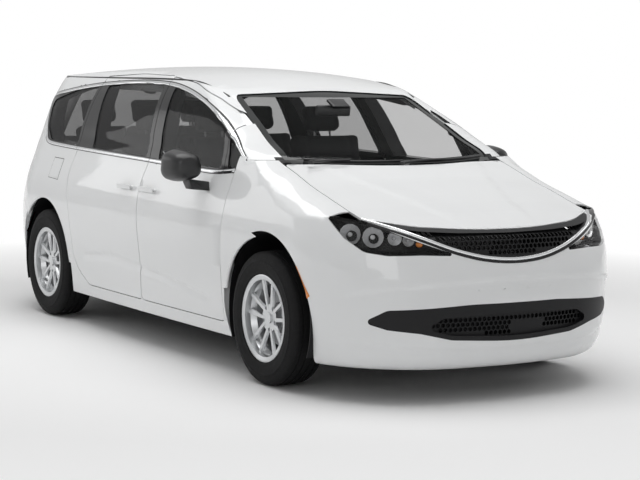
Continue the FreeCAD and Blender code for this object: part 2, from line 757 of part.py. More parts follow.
bonnet = nose.common(bonnet_plan).cut(under_skin)
bonnet_hinge_y = 690.0
bonnet_arm_length = 40.0
bracket_width = 8.0
bracket_depth = 30.0
brackets = []
for y in (-bonnet_hinge_y, bonnet_hinge_y):
    arm = box(
        bonnet_hinge_x, bonnet_hinge_x + bonnet_arm_length, y - lid_eye_half, y + lid_eye_half,
        bonnet_hinge_z - lid_eye_radius, bonnet_hinge_z + lid_eye_radius + lid_pin_radius / 2,
    )
    eye = across_cylinder(bonnet_hinge_x, bonnet_hinge_z, lid_eye_radius, y - lid_eye_half, y + lid_eye_half)
    bore = across_cylinder(
        bonnet_hinge_x, bonnet_hinge_z, lid_pin_radius + pin_gap, y - 2 * lid_eye_half, y + 2 * lid_eye_half
    )
    arm = arm.cut(across_cylinder(
        bonnet_hinge_x, bonnet_hinge_z, lid_eye_radius, y - 2 * lid_eye_half, y + 2 * lid_eye_half
    ))
    bonnet = bonnet.fuse(arm.fuse(eye).cut(bore))
    for side in (-1, 1):
        near = y + side * (lid_eye_half + lid_gap)
        plate_y = min(near, near + side * bracket_width)
        plate = box(
            bonnet_hinge_x - bracket_depth, bonnet_hinge_x, plate_y, plate_y + bracket_width,
            bonnet_hinge_z - bracket_depth, bonnet_hinge_z + lid_eye_radius,
        )
        knuckle_end = across_cylinder(bonnet_hinge_x, bonnet_hinge_z, lid_eye_radius, plate_y, plate_y + bracket_width)
        brackets.append(plate.fuse(knuckle_end))
    pin_half = lid_eye_half + lid_gap + bracket_width
    brackets.append(across_cylinder(bonnet_hinge_x, bonnet_hinge_z, lid_pin_radius, y - pin_half, y + pin_half))
save("bonnet", bonnet)

cowl_front_x = 1640.0
cowl_half = 745.0
cowl_bottom = 1120.0
cowl_joint = 26.0
firewall_sheet = 12.0
cowl_zone = box(firewall_x + firewall_sheet, cowl_front_x, -cowl_half, cowl_half, cowl_bottom, fender_top)

fender = nose_right
for cutter in (bumper_zone, bonnet_bay, lamp_zone, windscreen_aperture, cowl_zone, front_arch,
               box(-far, far, -far, 0, -overrun, sill_bottom), under_sheet):
    fender = fender.cut(cutter)
save("front_fenders", pair(fender))

cowl = outer.common(cowl_zone).cut(windscreen_aperture).cut(plan_prism(BONNET_SHARES, 0.5, 0.8, cowl_joint))
save("cowl", cowl.fuse(brackets))

bumper_side = nose_right.common(bumper_zone)
for cutter in (bonnet_bay, lamp_zone, grille_zone, intake_zone, front_arch, under_skin):
    bumper_side = bumper_side.cut(cutter)
bumper_side = max(bumper_side.Solids, key=lambda solid: solid.Volume)
front_bumper = bumper_side.fuse(mirrored(bumper_side))
save("front_bumper", front_bumper)

# Plan of the room behind the grilles: x as a share of nose_x, y of half_width
FRONT_ROOM_SHARES = (
    (0.927, 0.0, 0.0),
    (0.9216, -0.298, 0.0),
    (0.8887, -0.5567, 0.0),
    (0.8308, -0.7356, 0.0),
    (0.6569, -0.7555, 0.0),
    (0.6569, 0.0, 0.0),
)
front_room = plan_prism(FRONT_ROOM_SHARES, 0.05, 0.7)

# Honeycomb grilles: a frame round a curved sheet that is pierced by hexagonal openings
mesh_pitch = 28.0
mesh_web = 5.5
mesh_sheet = 12.0
mesh_frame = 18.0
mesh_seat = 4.0
mesh_half = 648.0
mesh_sweep = 40.0
GRILLE_SHEET_SHARES = ((0.9884, 0.420), (0.9730, 0.4957), (0.9190, 0.535))
INTAKE_SHEET_SHARES = ((0.9880, 0.150), (0.9880, 0.330))
INTAKE_MESH_SHARES = (
    (0.0, 0.2000, 1.4476),
    (-0.3807, 0.2110, 0.1158),
    (-0.5300, 0.2330, 0.0347),
    (-0.4300, 0.2640, 0.0347),
    (0.0, 0.2740, 1.4476),
)
NO_PANEL = (0.0, 0.0, 0.0, 0.0)
SENSOR_PANEL_SHARES = (-0.02, 0.20, 0.195, 0.250)


def curved_sheet(rows):
    """Upright sheet turned about the axis of the nose, its front face through rows of (x, z) shares."""
    axis_x = rows[0][0] * nose_x - nose_arc_radius
    front = [V(x * nose_x - axis_x, 0, z * roof_height) for x, z in rows]
    back = [p - V(mesh_sheet, 0, 0) for p in reversed(front)]
    sheet = Part.Face(Part.makePolygon(front + back + front[:1]))
    sheet.rotate(ORIGIN, AXIS_Z, -mesh_sweep / 2)
    sheet = sheet.revolve(ORIGIN, AXIS_Z, mesh_sweep)
    sheet.translate(V(axis_x, 0, 0))
    return sheet


def front_opening(rows, growth):
    """Front-view outline swept along the nose, no wider than the mesh."""
    limit = mesh_half + growth
    return end_prism(rows, 0.8, 1.1, growth).common(box(0, far, -limit, limit, 0, far))


def hexagons(rows, growth, panel):
    """Hexagonal prisms along the length that lie inside an outline and outside the plain panel."""
    points = scaled(both_halves(rows), half_width, roof_height)
    opening = grown(rounded_face(points, lambda a, b: V(0, a, b)), growth)
    bottom = opening.BoundBox.ZMin
    radius = (mesh_pitch - mesh_web) / math.sqrt(3)
    row_pitch = mesh_pitch * math.sin(math.pi / 3)
    corners = [math.radians(60 * i + 30) for i in range(7)]
    columns = int(mesh_half / mesh_pitch)
    prisms = []
    for row in range(int(opening.BoundBox.ZLength / row_pitch) + 1):
        z = bottom + (row + 0.75) * row_pitch
        for column in range(-columns, columns + 1):
            y = (column + 0.5 * (row % 2)) * mesh_pitch
            if panel[0] < y / half_width < panel[1] and panel[2] < z / roof_height < panel[3]:
                continue
            cell = [V(0, y + radius * math.cos(a), z + radius * math.sin(a)) for a in corners]
            if all(opening.isInside(p, mesh_web / 4, True) for p in cell[:6]):
                prism = Part.Face(Part.makePolygon(cell)).extrude(V(0.3 * nose_x, 0, 0))
                prism.translate(V(0.8 * nose_x, 0, 0))
                prisms.append(prism)
    return Part.makeCompound(prisms)


def mesh_front(block, rows, growth, sheet_rows, panel):
    frame = block.cut(front_opening(rows, growth))
    sheet = curved_sheet(sheet_rows).common(front_opening(rows, growth + mesh_seat)).cut(bonnet_bay)
    return frame.fuse(sheet).cut(hexagons(rows, growth, panel))


headlamp = nose_right.common(diagonal_prism(HEADLAMP_SHARES, 0.746)).cut(bonnet_bay).cut(grille_zone)
save("headlamps", pair(headlamp))
grille = nose.common(grille_zone).cut(front_room).cut(bonnet_bay)
save("grille", mesh_front(grille, GRILLE_SHARES, -mesh_frame, GRILLE_SHEET_SHARES, NO_PANEL))
lower_grille = nose.common(intake_zone).cut(front_room)
save("lower_grille", mesh_front(lower_grille, INTAKE_MESH_SHARES, 0.0, INTAKE_SHEET_SHARES, SENSOR_PANEL_SHARES))

rear_bumper = outer.common(box(-far, 0, -far, far, 0, fender_top))
rear_zone = side_prism(REAR_BUMPER_SHARES, 0.0, 0.0)
rear_bumper = rear_bumper.common(rear_zone.fuse(mirrored(rear_zone)))
rear_bumper = rear_bumper.cut(rear_arch).cut(mirrored(rear_arch)).cut(tailgate_mouth).cut(under_skin)
underbody_x = -2440.0
underbody_half = 850.0
underbody_top = 205.0
rear_bumper = rear_bumper.cut(box(underbody_x, 0, -underbody_half, underbody_half, 0, underbody_top))
save("rear_bumper", rear_bumper)

tail_lamp = outer_right.common(side_prism(TAIL_LAMP_SHARES, 0.0, 0.6)).cut(tailgate_mouth).cut(cabin)
save("tail_lamps", pair(tail_lamp))

# Structure under the skin
pillar_inner_y = 800.0
pillar_outer_y = 900.0
rail_inner_y = 430.0
rail_outer_y = 510.0
rail_bottom = 420.0
rail_top = 560.0
rail_front_x = 2285.0
tower_half_length = 80.0
tower_inner_y = 535.0
tower_outer_y = 700.0
tower_top = 925.0
tower_plate = 26.0
kingpin_low_y = 795.0
kingpin_low_z = 225.0
kingpin_high_y = 610.0
kingpin_high_z = tower_top - tower_plate
bearing_gap = 0.3
bearing_radius = 30.0
bearing_drop = 20.0
kingpin_low = V(front_axle_x, -kingpin_low_y, kingpin_low_z)
kingpin_high = V(front_axle_x, -kingpin_high_y, kingpin_high_z)
along = kingpin_high - kingpin_low
kingpin_reach = along.Length
along.normalize()

floor = cabin.common(box(load_floor_x, firewall_x, -far, far, floor_top - floor_thickness, floor_top))
load_floor = cabin.common(box(-far, load_floor_x, -far, far, load_floor_top - floor_thickness, load_floor_top))
step_wall = cabin.common(
    box(load_floor_x - firewall_sheet, load_floor_x, -far, far, floor_top - floor_thickness, load_floor_top)
)
rear_panel_half = 600.0
rear_panel_front_x = -2400.0
rear_panel_top = 590.0
rear_panel = box(
    tail_x, rear_panel_front_x, -rear_panel_half, rear_panel_half, load_floor_top - floor_thickness, rear_panel_top
)
rear_panel = under_skin.common(rear_panel).cut(cabin)
floor_pan = floor.fuse([step_wall, load_floor, rear_panel])
arch_room = across_cylinder(front_arch_x, arch_height, liner_radius, -far, -tower_inner_y)
arch_rooms = arch_room.fuse(mirrored(arch_room))
pillar_room = box(door_front_x + panel_gap, firewall_x, -pillar_outer_y, -pillar_inner_y, 0, floor_top)
for cutter in (rear_arch, mirrored(rear_arch), arch_rooms, pillar_room, mirrored(pillar_room)):
    floor_pan = floor_pan.cut(cutter)
save("floor_pan", floor_pan)

front_wall = box(firewall_x, firewall_x + firewall_sheet, -pillar_outer_y, pillar_outer_y, sill_bottom, cowl_height)
pillar = box(door_front_x + panel_gap, firewall_x, -pillar_outer_y, -pillar_inner_y, sill_bottom, cowl_height)
front_wall = front_wall.fuse([pillar, mirrored(pillar)]).cut(arch_rooms).common(under_sheet)
rail = box(firewall_x + firewall_sheet, rail_front_x, -rail_outer_y, -rail_inner_y, rail_bottom, rail_top)
tower = box(
    front_axle_x - tower_half_length, front_axle_x + tower_half_length, -tower_outer_y, -rail_inner_y,
    tower_top - tower_plate, tower_top,
).fuse(box(
    front_axle_x - tower_half_length, front_axle_x + tower_half_length, -rail_outer_y, -rail_inner_y,
    rail_top, tower_top,
))
bearing = Part.makeCylinder(bearing_radius, bearing_drop + bearing_radius, kingpin_high - along * bearing_drop, along)
bearing = bearing.common(box(0, far, -far, 0, 0, tower_top))
tower = tower.fuse(bearing)
panel_bottom = 270.0
panel_top = 735.0
radiator_panel = box(rail_front_x, rail_front_x + tower_plate, -rail_outer_y, rail_outer_y, panel_bottom, panel_top)
beam_half = 560.0
beam_bottom = 560.0
beam_top = 680.0
crash_beam = under_skin.common(box(rail_front_x, nose_x, -beam_half, beam_half, beam_bottom, beam_top))
front_structure = front_wall.fuse(hinge_arms + [mirrored(arm) for arm in hinge_arms])
front_structure = front_structure.fuse([rail, mirrored(rail), tower, mirrored(tower)])
front_structure = front_structure.fuse([radiator_panel, crash_beam])
save("front_structure", front_structure)


def liner(x, inner_y, outer_y, close):
    ring = across_cylinder(x, arch_height, liner_radius, -outer_y, -inner_y)
    hollow = across_cylinder(x, arch_height, liner_radius - liner_sheet, -outer_y - overrun, -inner_y - (liner_sheet if close else -overrun))
    return ring.cut(hollow).cut(box(-far, far, -far, far, -far, sill_bottom))


front_liner = liner(front_arch_x, tower_inner_y, half_width - 2.5 * arch_lip_depth, False)
tower_room = 1.25 * tower_half_length
front_liner = front_liner.cut(box(
    front_axle_x - tower_room, front_axle_x + tower_room, -tower_outer_y - overrun, 0, axle_height, tower_top
))
rear_liner = liner(rear_arch_x, rear_liner_inner_y, half_width - 2.5 * arch_lip_depth, True)
rear_liner = rear_liner.cut(across_cylinder(rear_axle_x, axle_height, 42.0, -rear_liner_inner_y - overrun, 0))
save("wheel_liners", Part.makeCompound([front_liner, mirrored(front_liner), rear_liner, mirrored(rear_liner)]))

# Wheels: profiles run round the section as radius and distance outboard of the wheel's middle plane,
# both as shares of the wheel's radius


def revolved(profile, x, side):
    """Ring turned from a closed section about the axle of the wheel at x on one side."""
    points = [V(radius * wheel_radius, outboard * wheel_radius, 0) for radius, outboard in profile]
    ring = Part.Face(Part.makePolygon(points + points[:1])).revolve(ORIGIN, AXIS_Y, 360)
    if side < 0:
        ring = ring.mirror(ORIGIN, AXIS_Y)
    ring.translate(V(x, side * wheel_plane_y, axle_height))
    return ring


TYRE_SHARES = (
    (0.5924, 0.2446), (0.8641, 0.3125), (1.0, 0.2120), (1.0, -0.2120), (0.8641, -0.3125), (0.5924, -0.2446),
)
RIM_SHARES = (
    (0.6467, 0.2609), (0.6495, 0.2799), (0.6304, 0.2853), (0.5734, 0.2663), (0.5625, 0.1793), (0.5163, 0.0924),
    (0.5163, -0.0652), (0.5625, -0.1739), (0.5734, -0.2663), (0.6304, -0.2853), (0.6495, -0.2799), (0.6467, -0.2609),
    (0.5924, -0.2446), (0.5924, -0.1793), (0.5380, -0.0761), (0.5380, 0.1033), (0.5924, 0.1848), (0.5924, 0.2446),
)
DISC_SHARES = (
    (0.0951, 0.0679), (0.2310, 0.0679), (0.2310, -0.0272), (0.4348, -0.0272), (0.4348, -0.0951), (0.2092, -0.0951),
    (0.2092, 0.0408), (0.0951, 0.0408),
)

# Spokes: five pairs of blades that splay from the hub, each row across and out from the axle, as
# shares of the wheel's radius
SPOKE_SHARES = ((0.016, 0.082), (0.092, 0.092), (0.174, 0.560), (0.103, 0.576))
spoke_count = 5
hub_face = 25.0
hub_pad_radius = 76.0
hub_pad_front = 62.0
hub_cap_radius = 30.0
hub_cap_front = 72.0
spoke_back = 46.0
spoke_front = 58.0
spoke_rise = 34.0
spoke_taper = 0.72
lug_circle_radius = 63.5
lug_radius = 11.0


def spoke_blade(lean):
    """One blade, wider at the back than at the front, rising from the hub to the rim."""
    middle = sum(across for across, out in SPOKE_SHARES) / len(SPOKE_SHARES)
    wires = []
    for depth, width in ((spoke_back, 1.0), (spoke_front, spoke_taper)):
        corners = []
        for across, out in SPOKE_SHARES:
            shift = middle * out / SPOKE_SHARES[2][1] * 1.6
            a = shift + (across - shift) * width
            corners.append(V(lean * a * wheel_radius, depth + out * spoke_rise, out * wheel_radius))
        wires.append(Part.makePolygon(corners + corners[:1]))
    return Part.makeLoft(wires, True, True)


def spoke_set(x, side):
    spokes = []
    for i in range(spoke_count):
        for lean in (-1, 1):
            blade = spoke_blade(lean)
            blade.rotate(ORIGIN, AXIS_Y, 360 / spoke_count * i)
            spokes.append(blade)
    pad = Part.makeCylinder(hub_pad_radius, hub_pad_front - hub_face, V(0, hub_face, 0), AXIS_Y)
    cap = Part.makeCylinder(hub_cap_radius, hub_cap_front - hub_face, V(0, hub_face, 0), AXIS_Y)
    centre = pad.fuse(spokes + [cap])
    for i in range(spoke_count):
        angle = 2 * math.pi * (i + 0.5) / spoke_count
        place = V(lug_circle_radius * math.sin(angle), hub_pad_front - lug_radius, lug_circle_radius * math.cos(angle))
        centre = centre.cut(Part.makeCylinder(lug_radius, 2 * lug_radius + spoke_rise, place, AXIS_Y))
    if side < 0:
        centre = centre.mirror(ORIGIN, AXIS_Y)
    centre.translate(V(x, side * wheel_plane_y, axle_height))
    return centre


for end_name, axle_x in (("front", front_axle_x), ("rear", rear_axle_x)):
    for side_name, side in (("right", -1), ("left", 1)):
        tag = end_name + "_" + side_name
        save("tyre_" + tag, revolved(TYRE_SHARES, axle_x, side))
        save("rim_" + tag, revolved(RIM_SHARES, axle_x, side).fuse(spoke_set(axle_x, side)))
        save("brake_disc_" + tag, revolved(DISC_SHARES, axle_x, side))

# Front knuckle with its strut, turning about the inclined kingpin line
stub_radius = 34.7
carrier_radius = 66.0


def outboard(y):
    """World y of a place outboard of the right wheel's middle plane."""
    return -wheel_plane_y - y


carrier_front = 14.7
carrier_back = 95.0
stub_front = 24.7
carrier = across_cylinder(front_axle_x, axle_height, carrier_radius, outboard(carrier_front), outboard(-carrier_back))
stub = across_cylinder(front_axle_x, axle_height, stub_radius, outboard(stub_front), outboard(0))
leg_radius = 20.0
leg_length = 300.0
strut_radius = 26.0
strut_start = 200.0
spring_radius = 60.0
spring_length = 110.0
spring_top_drop = 40.0
rod_radius = 12.0
leg = Part.makeCylinder(leg_radius, leg_length, kingpin_low, along)
strut = Part.makeCylinder(strut_radius, kingpin_reach - spring_top_drop - strut_start, kingpin_low + along * strut_start, along)
spring_foot = kingpin_low + along * (kingpin_reach - spring_top_drop - spring_length)
spring = Part.makeCylinder(spring_radius, spring_length, spring_foot, along)
rod = Part.makeCylinder(rod_radius, kingpin_reach - bearing_drop - bearing_gap - leg_length, kingpin_low + along * leg_length, along)
knuckle = carrier.fuse([stub, leg, strut, spring, rod])
save("knuckle_right", knuckle)
save("knuckle_left", mirrored(knuckle))

# Rear axle: twist beam, trailing arms, spindles, dampers and springs
arm_y = 610.0
arm_half = 32.0
arm_bottom = 300.0
arm_top = 392.0
arm_front_x = load_floor_x - firewall_sheet
beam_x = -1240.0
beam_z = 345.0
beam_radius = 42.0
damper_radius = 28.0
rear_spring_x = -1330.0
floor_underside = load_floor_top - floor_thickness
rear_carrier = across_cylinder(rear_axle_x, axle_height, carrier_radius, outboard(carrier_front), outboard(-carrier_back))
rear_stub = across_cylinder(rear_axle_x, axle_height, stub_radius, outboard(stub_front), outboard(0))
trailing_arm = box(rear_axle_x - arm_half, arm_front_x, -arm_y - arm_half, -arm_y + arm_half, arm_bottom, arm_top)
spindle_arm = across_cylinder(rear_axle_x, axle_height, arm_half, outboard(-carrier_back), -arm_y)
beam = across_cylinder(beam_x, beam_z, beam_radius, -arm_y, arm_y)
damper = Part.makeCylinder(damper_radius, floor_underside - axle_height, V(rear_axle_x, -arm_y, axle_height))
rear_spring = Part.makeCylinder(spring_radius, floor_underside - axle_height, V(rear_spring_x, -arm_y, axle_height))
side_parts = [rear_carrier, rear_stub, trailing_arm, spindle_arm, damper, rear_spring]
save("rear_axle", beam.multiFuse(side_parts + [mirrored(piece) for piece in side_parts]))

# Front subframe: a cradle under the engine and a lower arm on each side, whose ball seat faces the kingpin
arm_plate = 26.0
ball_rise = 12.0
ball_radius = 20.0
arm_plate_top = kingpin_low_z - ball_rise
arm_plate_bottom = arm_plate_top - arm_plate
arm_inner_end_y = 400.0
arm_tip_half = 26.0
arm_rear_run = 190.0
arm_front_run = 60.0
cradle_half = 430.0
cradle_inner_half = 330.0
cradle_back = 260.0
cradle_front = 120.0
cradle_back_inner = 180.0
cradle_front_inner = 40.0
cradle_bottom = 180.0
cradle_top = 265.0
post_half = 60.0
ball_seat = Part.makeCylinder(ball_radius, arm_plate, kingpin_low - along * (bearing_gap + arm_plate), along)
ball_plate = Part.makeCylinder(ball_radius, arm_plate, V(front_axle_x, -kingpin_low_y, arm_plate_bottom))
lower_arm = Part.Face(Part.makePolygon([
    V(front_axle_x - arm_tip_half, -kingpin_low_y, arm_plate_bottom),
    V(front_axle_x - arm_rear_run, -arm_inner_end_y, arm_plate_bottom),
    V(front_axle_x + arm_front_run, -arm_inner_end_y, arm_plate_bottom),
    V(front_axle_x + arm_tip_half, -kingpin_low_y, arm_plate_bottom),
    V(front_axle_x - arm_tip_half, -kingpin_low_y, arm_plate_bottom),
])).extrude(V(0, 0, arm_plate))
lower_arm = lower_arm.fuse([ball_seat, ball_plate])
cradle = box(
    front_axle_x - cradle_back, front_axle_x + cradle_front, -cradle_half, cradle_half, cradle_bottom, cradle_top
).cut(box(
    front_axle_x - cradle_back_inner, front_axle_x + cradle_front_inner, -cradle_inner_half, cradle_inner_half, 0, far
))
mount_post = box(
    front_axle_x - post_half, front_axle_x + post_half, -rail_outer_y, -rail_inner_y + overrun / 3,
    arm_plate_top, rail_bottom,
)
pieces = [lower_arm, mount_post, mirrored(lower_arm), mirrored(mount_post)]
save("front_subframe", cradle.multiFuse(pieces))

# Closed inner masses and what hangs below the floor
engine_back_x = 1500.0
engine_front_x = 2120.0
engine_half = 380.0
engine_top = 880.0
save("engine_block", box(engine_back_x, engine_front_x, -engine_half, engine_half, cradle_top, engine_top))

tank_back_x = -380.0
tank_front_x = 420.0
tank_right_y = -560.0
tank_left_y = 100.0
tank_bottom = 160.0
tank_top = floor_top - floor_thickness
tank_edge = 30.0
fuel_tank = box(tank_back_x, tank_front_x, tank_right_y, tank_left_y, tank_bottom, tank_top)
lower_edges = [edge for edge in fuel_tank.Edges if edge.BoundBox.ZMin < tank_top - tank_edge]
save("fuel_tank", fuel_tank.makeFillet(tank_edge, lower_edges))

exhaust_y = 330.0
pipe_radius = 28.0
pipe_z = 190.0
pipe_back_x = -1850.0
pipe_front_x = 1050.0
muffler_radius = 85.0
muffler_z = 275.0
muffler_back_x = -2400.0
muffler_front_x = -1840.0
tail_pipe_end_x = -2462.0
hanger_half = 15.0
hanger_length = 60.0
rear_hanger_x = -2200.0
front_hanger_x = 200.0
pipe = Part.makeCylinder(pipe_radius, pipe_front_x - pipe_back_x, V(pipe_back_x, exhaust_y, pipe_z), AXIS_X)
muffler_length = muffler_front_x - muffler_back_x
muffler = Part.makeCylinder(muffler_radius, muffler_length, V(muffler_back_x, exhaust_y, muffler_z), AXIS_X)
tail_length = muffler_front_x - tail_pipe_end_x
tail_pipe = Part.makeCylinder(pipe_radius, tail_length, V(tail_pipe_end_x, exhaust_y, muffler_z), AXIS_X)
hangers = [
    box(x, x + hanger_length, exhaust_y - hanger_half, exhaust_y + hanger_half, bottom, top)
    for x, bottom, top in ((rear_hanger_x, muffler_z, floor_underside), (front_hanger_x, pipe_z, tank_top))
]
save("exhaust", pipe.multiFuse([muffler, tail_pipe] + hangers))

# Dashboard with its centre console. Section in side view: x as a share of nose_x, z of roof_height
DASHBOARD_SHARES = (
    (0.4830, 0.3706), (0.4830, 0.6589), (0.4096, 0.6485), (0.3400, 0.6300), (0.3169, 0.6022), (0.3246, 0.4980),
    (0.3903, 0.3706), (0.4830, 0.3706),
)
CONSOLE_SHARES = (
    (0.1623, 0.1656), (0.1623, 0.3600), (0.1900, 0.3822), (0.2650, 0.3822), (0.3100, 0.5600), (0.3903, 0.5600),
    (0.3903, 0.1656), (0.1623, 0.1656),
)
dash_half = 770.0
console_half = 130.0


def side_slab(rows, half):
    """Side-view section extruded evenly to both sides of the centre plane."""
    section = Part.Face(Part.makePolygon([V(x * nose_x, -half, z * roof_height) for x, z in rows]))
    return section.extrude(V(0, 2 * half, 0))


dashboard = side_slab(DASHBOARD_SHARES, dash_half).fuse(side_slab(CONSOLE_SHARES, console_half))
dashboard = dashboard.common(box(0, firewall_x, -far, far, floor_top, far)).cut(arch_rooms)
save("dashboard", dashboard)

# Steering wheel with three spokes and its column
wheel_rake = 24.0
steering_x = 640.0
steering_y = -370.0
steering_z = 1010.0
steering_rim_radius = 185.0
steering_grip_radius = 15.0
boss_radius = 58.0
boss_depth = 40.0
bar_width = 40.0
bar_depth = 18.0
column_radius = 26.0
column_length = 240.0
grip = Part.makeTorus(steering_rim_radius, steering_grip_radius, ORIGIN, AXIS_Z)
boss = Part.makeCylinder(boss_radius, boss_depth, V(0, 0, -boss_depth / 2))
bar = box(-bar_width / 2, bar_width / 2, -steering_rim_radius, steering_rim_radius, -bar_depth / 2, bar_depth / 2)
lower_bar = box(-steering_rim_radius, 0, -bar_width / 2, bar_width / 2, -bar_depth / 2, bar_depth / 2)
column = Part.makeCylinder(column_radius, column_length, V(0, 0, -column_length))
steering_wheel = grip.multiFuse([boss, bar, lower_bar, column])
steering_wheel.rotate(ORIGIN, AXIS_Y, -90 + wheel_rake)
steering_wheel.translate(V(steering_x, steering_y, steering_z))
save("steering_wheel", steering_wheel.cut(dashboard))

# Seats: plinth, cushion, raked back and head restraint on two posts
seat_back_rake = -16.0
cushion_back = 250.0
cushion_front = 260.0
cushion_depth = 140.0
back_rear = 60.0
back_front = 70.0
back_overlap = 20.0
head_half_depth = 45.0
head_half_width = 135.0
head_height = 180.0
head_gap = 12.0
head_edge = 30.0
head_post_radius = 7.0
head_post_y = 60.0
cushion_edge = 45.0
plinth_half = 200.0


def rounded_box(x0, x1, y0, y1, z0, z1, edge):
    block = box(x0, x1, y0, y1, z0, z1)
    return block.makeFillet(edge, block.Edges)


def seat(x, y, width, base_z, back_height, floor_z):
    half = width / 2
    cushion = rounded_box(x - cushion_back, x + cushion_front, y - half, y + half, base_z, base_z + cushion_depth, cushion_edge)
    back = rounded_box(-back_rear, back_front, -half, half, -back_overlap, back_height, cushion_edge)
    head_bottom = back_height + head_gap
    head = rounded_box(
        -head_half_depth, head_half_depth, -head_half_width, head_half_width,
        head_bottom, head_bottom + head_height, head_edge,
    )
    posts = [
        Part.makeCylinder(head_post_radius, 2 * head_edge + head_gap, V(0, side * head_post_y, back_height - head_edge))
        for side in (-1, 1)
    ]
    upper = back.multiFuse([head] + posts)
    upper.rotate(ORIGIN, AXIS_Y, seat_back_rake)
    upper.translate(V(x - cushion_back, y, base_z + cushion_depth))
    plinth = box(x - plinth_half, x + plinth_half, y - width / 3, y + width / 3, floor_z, base_z + cushion_edge)
    return cushion.multiFuse([upper, plinth])


# Each row: x of the seat, width, height of its base and of its back
seat_y = 400.0
front_seat_x = 330.0
front_seat_width = 520.0
front_seat_base = 560.0
front_seat_back = 620.0
middle_seat_x = -560.0
middle_seat_width = 500.0
middle_seat_back = 600.0
bench_x = -1500.0
bench_width = 1180.0
bench_base = 640.0
bench_back = 540.0
front_seat = seat(front_seat_x, -seat_y, front_seat_width, front_seat_base, front_seat_back, floor_top)
save("front_seats", pair(front_seat))
middle_seat = seat(middle_seat_x, -seat_y, middle_seat_width, front_seat_base, middle_seat_back, floor_top)
save("middle_seats", pair(middle_seat))
save("rear_bench", seat(bench_x, 0, bench_width, bench_base, bench_back, load_floor_top))

# Door mirrors ride on the front doors: a rounded head on an arm whose foot stands on the door
MIRROR_HEAD_SHARES = (
    (-1.182, 0.6250, 0.0290),
    (-1.172, 0.6920, 0.0290),
    (-1.100, 0.7080, 0.1158),
    (-0.985, 0.6950, 0.0405),
    (-0.975, 0.6280, 0.0290),
    (-1.080, 0.6080, 0.1158),
)
MIRROR_SECTION_SHARES = ((0.2680, 0.86), (0.2760, 1.0), (0.3100, 0.97), (0.3290, 0.80), (0.3370, 0.52))
MIRROR_ARM_SHARES = ((0.285, 0.618), (0.318, 0.618), (0.334, 0.590), (0.304, 0.590), (0.285, 0.618))
mirror_arm_outer_share = 1.060
mirror_arm_inner_share = 0.900


def mirror_section(x_share, size):
    """Outline of the head at one station, scaled about the middle of the outline."""
    count = len(MIRROR_HEAD_SHARES)
    middle_y = sum(y for y, z, r in MIRROR_HEAD_SHARES) / count
    middle_z = sum(z for y, z, r in MIRROR_HEAD_SHARES) / count
    rows = [
        (middle_y + (y - middle_y) * size, middle_z + (z - middle_z) * size, r * size)
        for y, z, r in MIRROR_HEAD_SHARES
    ]
    face = rounded_face(scaled(rows, half_width, roof_height), lambda a, b: V(x_share * nose_x, a, b))
    return face.OuterWire


mirror_head = Part.makeLoft([mirror_section(x, size) for x, size in MIRROR_SECTION_SHARES], True, False)
arm_section = Part.makePolygon([
    V(x * nose_x, -mirror_arm_outer_share * half_width, z * roof_height) for x, z in MIRROR_ARM_SHARES
])
mirror_arm = Part.Face(arm_section).extrude(V(0, (mirror_arm_outer_share - mirror_arm_inner_share) * half_width, 0))
mirror = mirror_head.fuse(mirror_arm).cut(outer_right)
save("mirror_right", mirror)
save("mirror_left", mirrored(mirror))
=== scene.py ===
import json
import math

import bmesh
import bpy
from mathutils import Matrix, Vector
from mathutils.bvhtree import BVHTree

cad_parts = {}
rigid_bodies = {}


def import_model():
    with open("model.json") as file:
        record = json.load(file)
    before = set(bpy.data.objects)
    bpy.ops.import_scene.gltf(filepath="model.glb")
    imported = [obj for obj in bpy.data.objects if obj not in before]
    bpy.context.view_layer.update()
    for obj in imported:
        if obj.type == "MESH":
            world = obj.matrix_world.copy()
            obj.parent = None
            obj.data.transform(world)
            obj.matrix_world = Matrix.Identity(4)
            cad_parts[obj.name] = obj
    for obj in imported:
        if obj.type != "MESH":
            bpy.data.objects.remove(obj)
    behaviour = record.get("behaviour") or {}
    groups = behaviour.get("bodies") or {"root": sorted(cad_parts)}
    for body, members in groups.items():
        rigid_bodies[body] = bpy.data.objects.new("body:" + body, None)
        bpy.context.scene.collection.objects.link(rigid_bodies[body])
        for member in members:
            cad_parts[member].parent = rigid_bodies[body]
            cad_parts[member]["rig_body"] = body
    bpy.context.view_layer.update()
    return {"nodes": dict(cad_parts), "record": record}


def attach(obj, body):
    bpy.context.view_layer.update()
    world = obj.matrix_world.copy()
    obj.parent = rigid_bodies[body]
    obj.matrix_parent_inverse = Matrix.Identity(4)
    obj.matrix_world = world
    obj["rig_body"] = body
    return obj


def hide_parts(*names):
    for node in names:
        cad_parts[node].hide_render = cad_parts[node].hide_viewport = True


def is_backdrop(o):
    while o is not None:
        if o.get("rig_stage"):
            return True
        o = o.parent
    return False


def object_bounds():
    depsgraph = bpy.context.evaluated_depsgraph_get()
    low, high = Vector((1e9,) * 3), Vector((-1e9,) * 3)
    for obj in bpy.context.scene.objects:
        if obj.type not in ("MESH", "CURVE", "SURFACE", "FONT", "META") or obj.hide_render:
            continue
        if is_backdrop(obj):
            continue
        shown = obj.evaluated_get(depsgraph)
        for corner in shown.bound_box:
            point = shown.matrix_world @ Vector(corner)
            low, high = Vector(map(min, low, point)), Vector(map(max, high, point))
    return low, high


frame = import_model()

nodes = frame["nodes"]


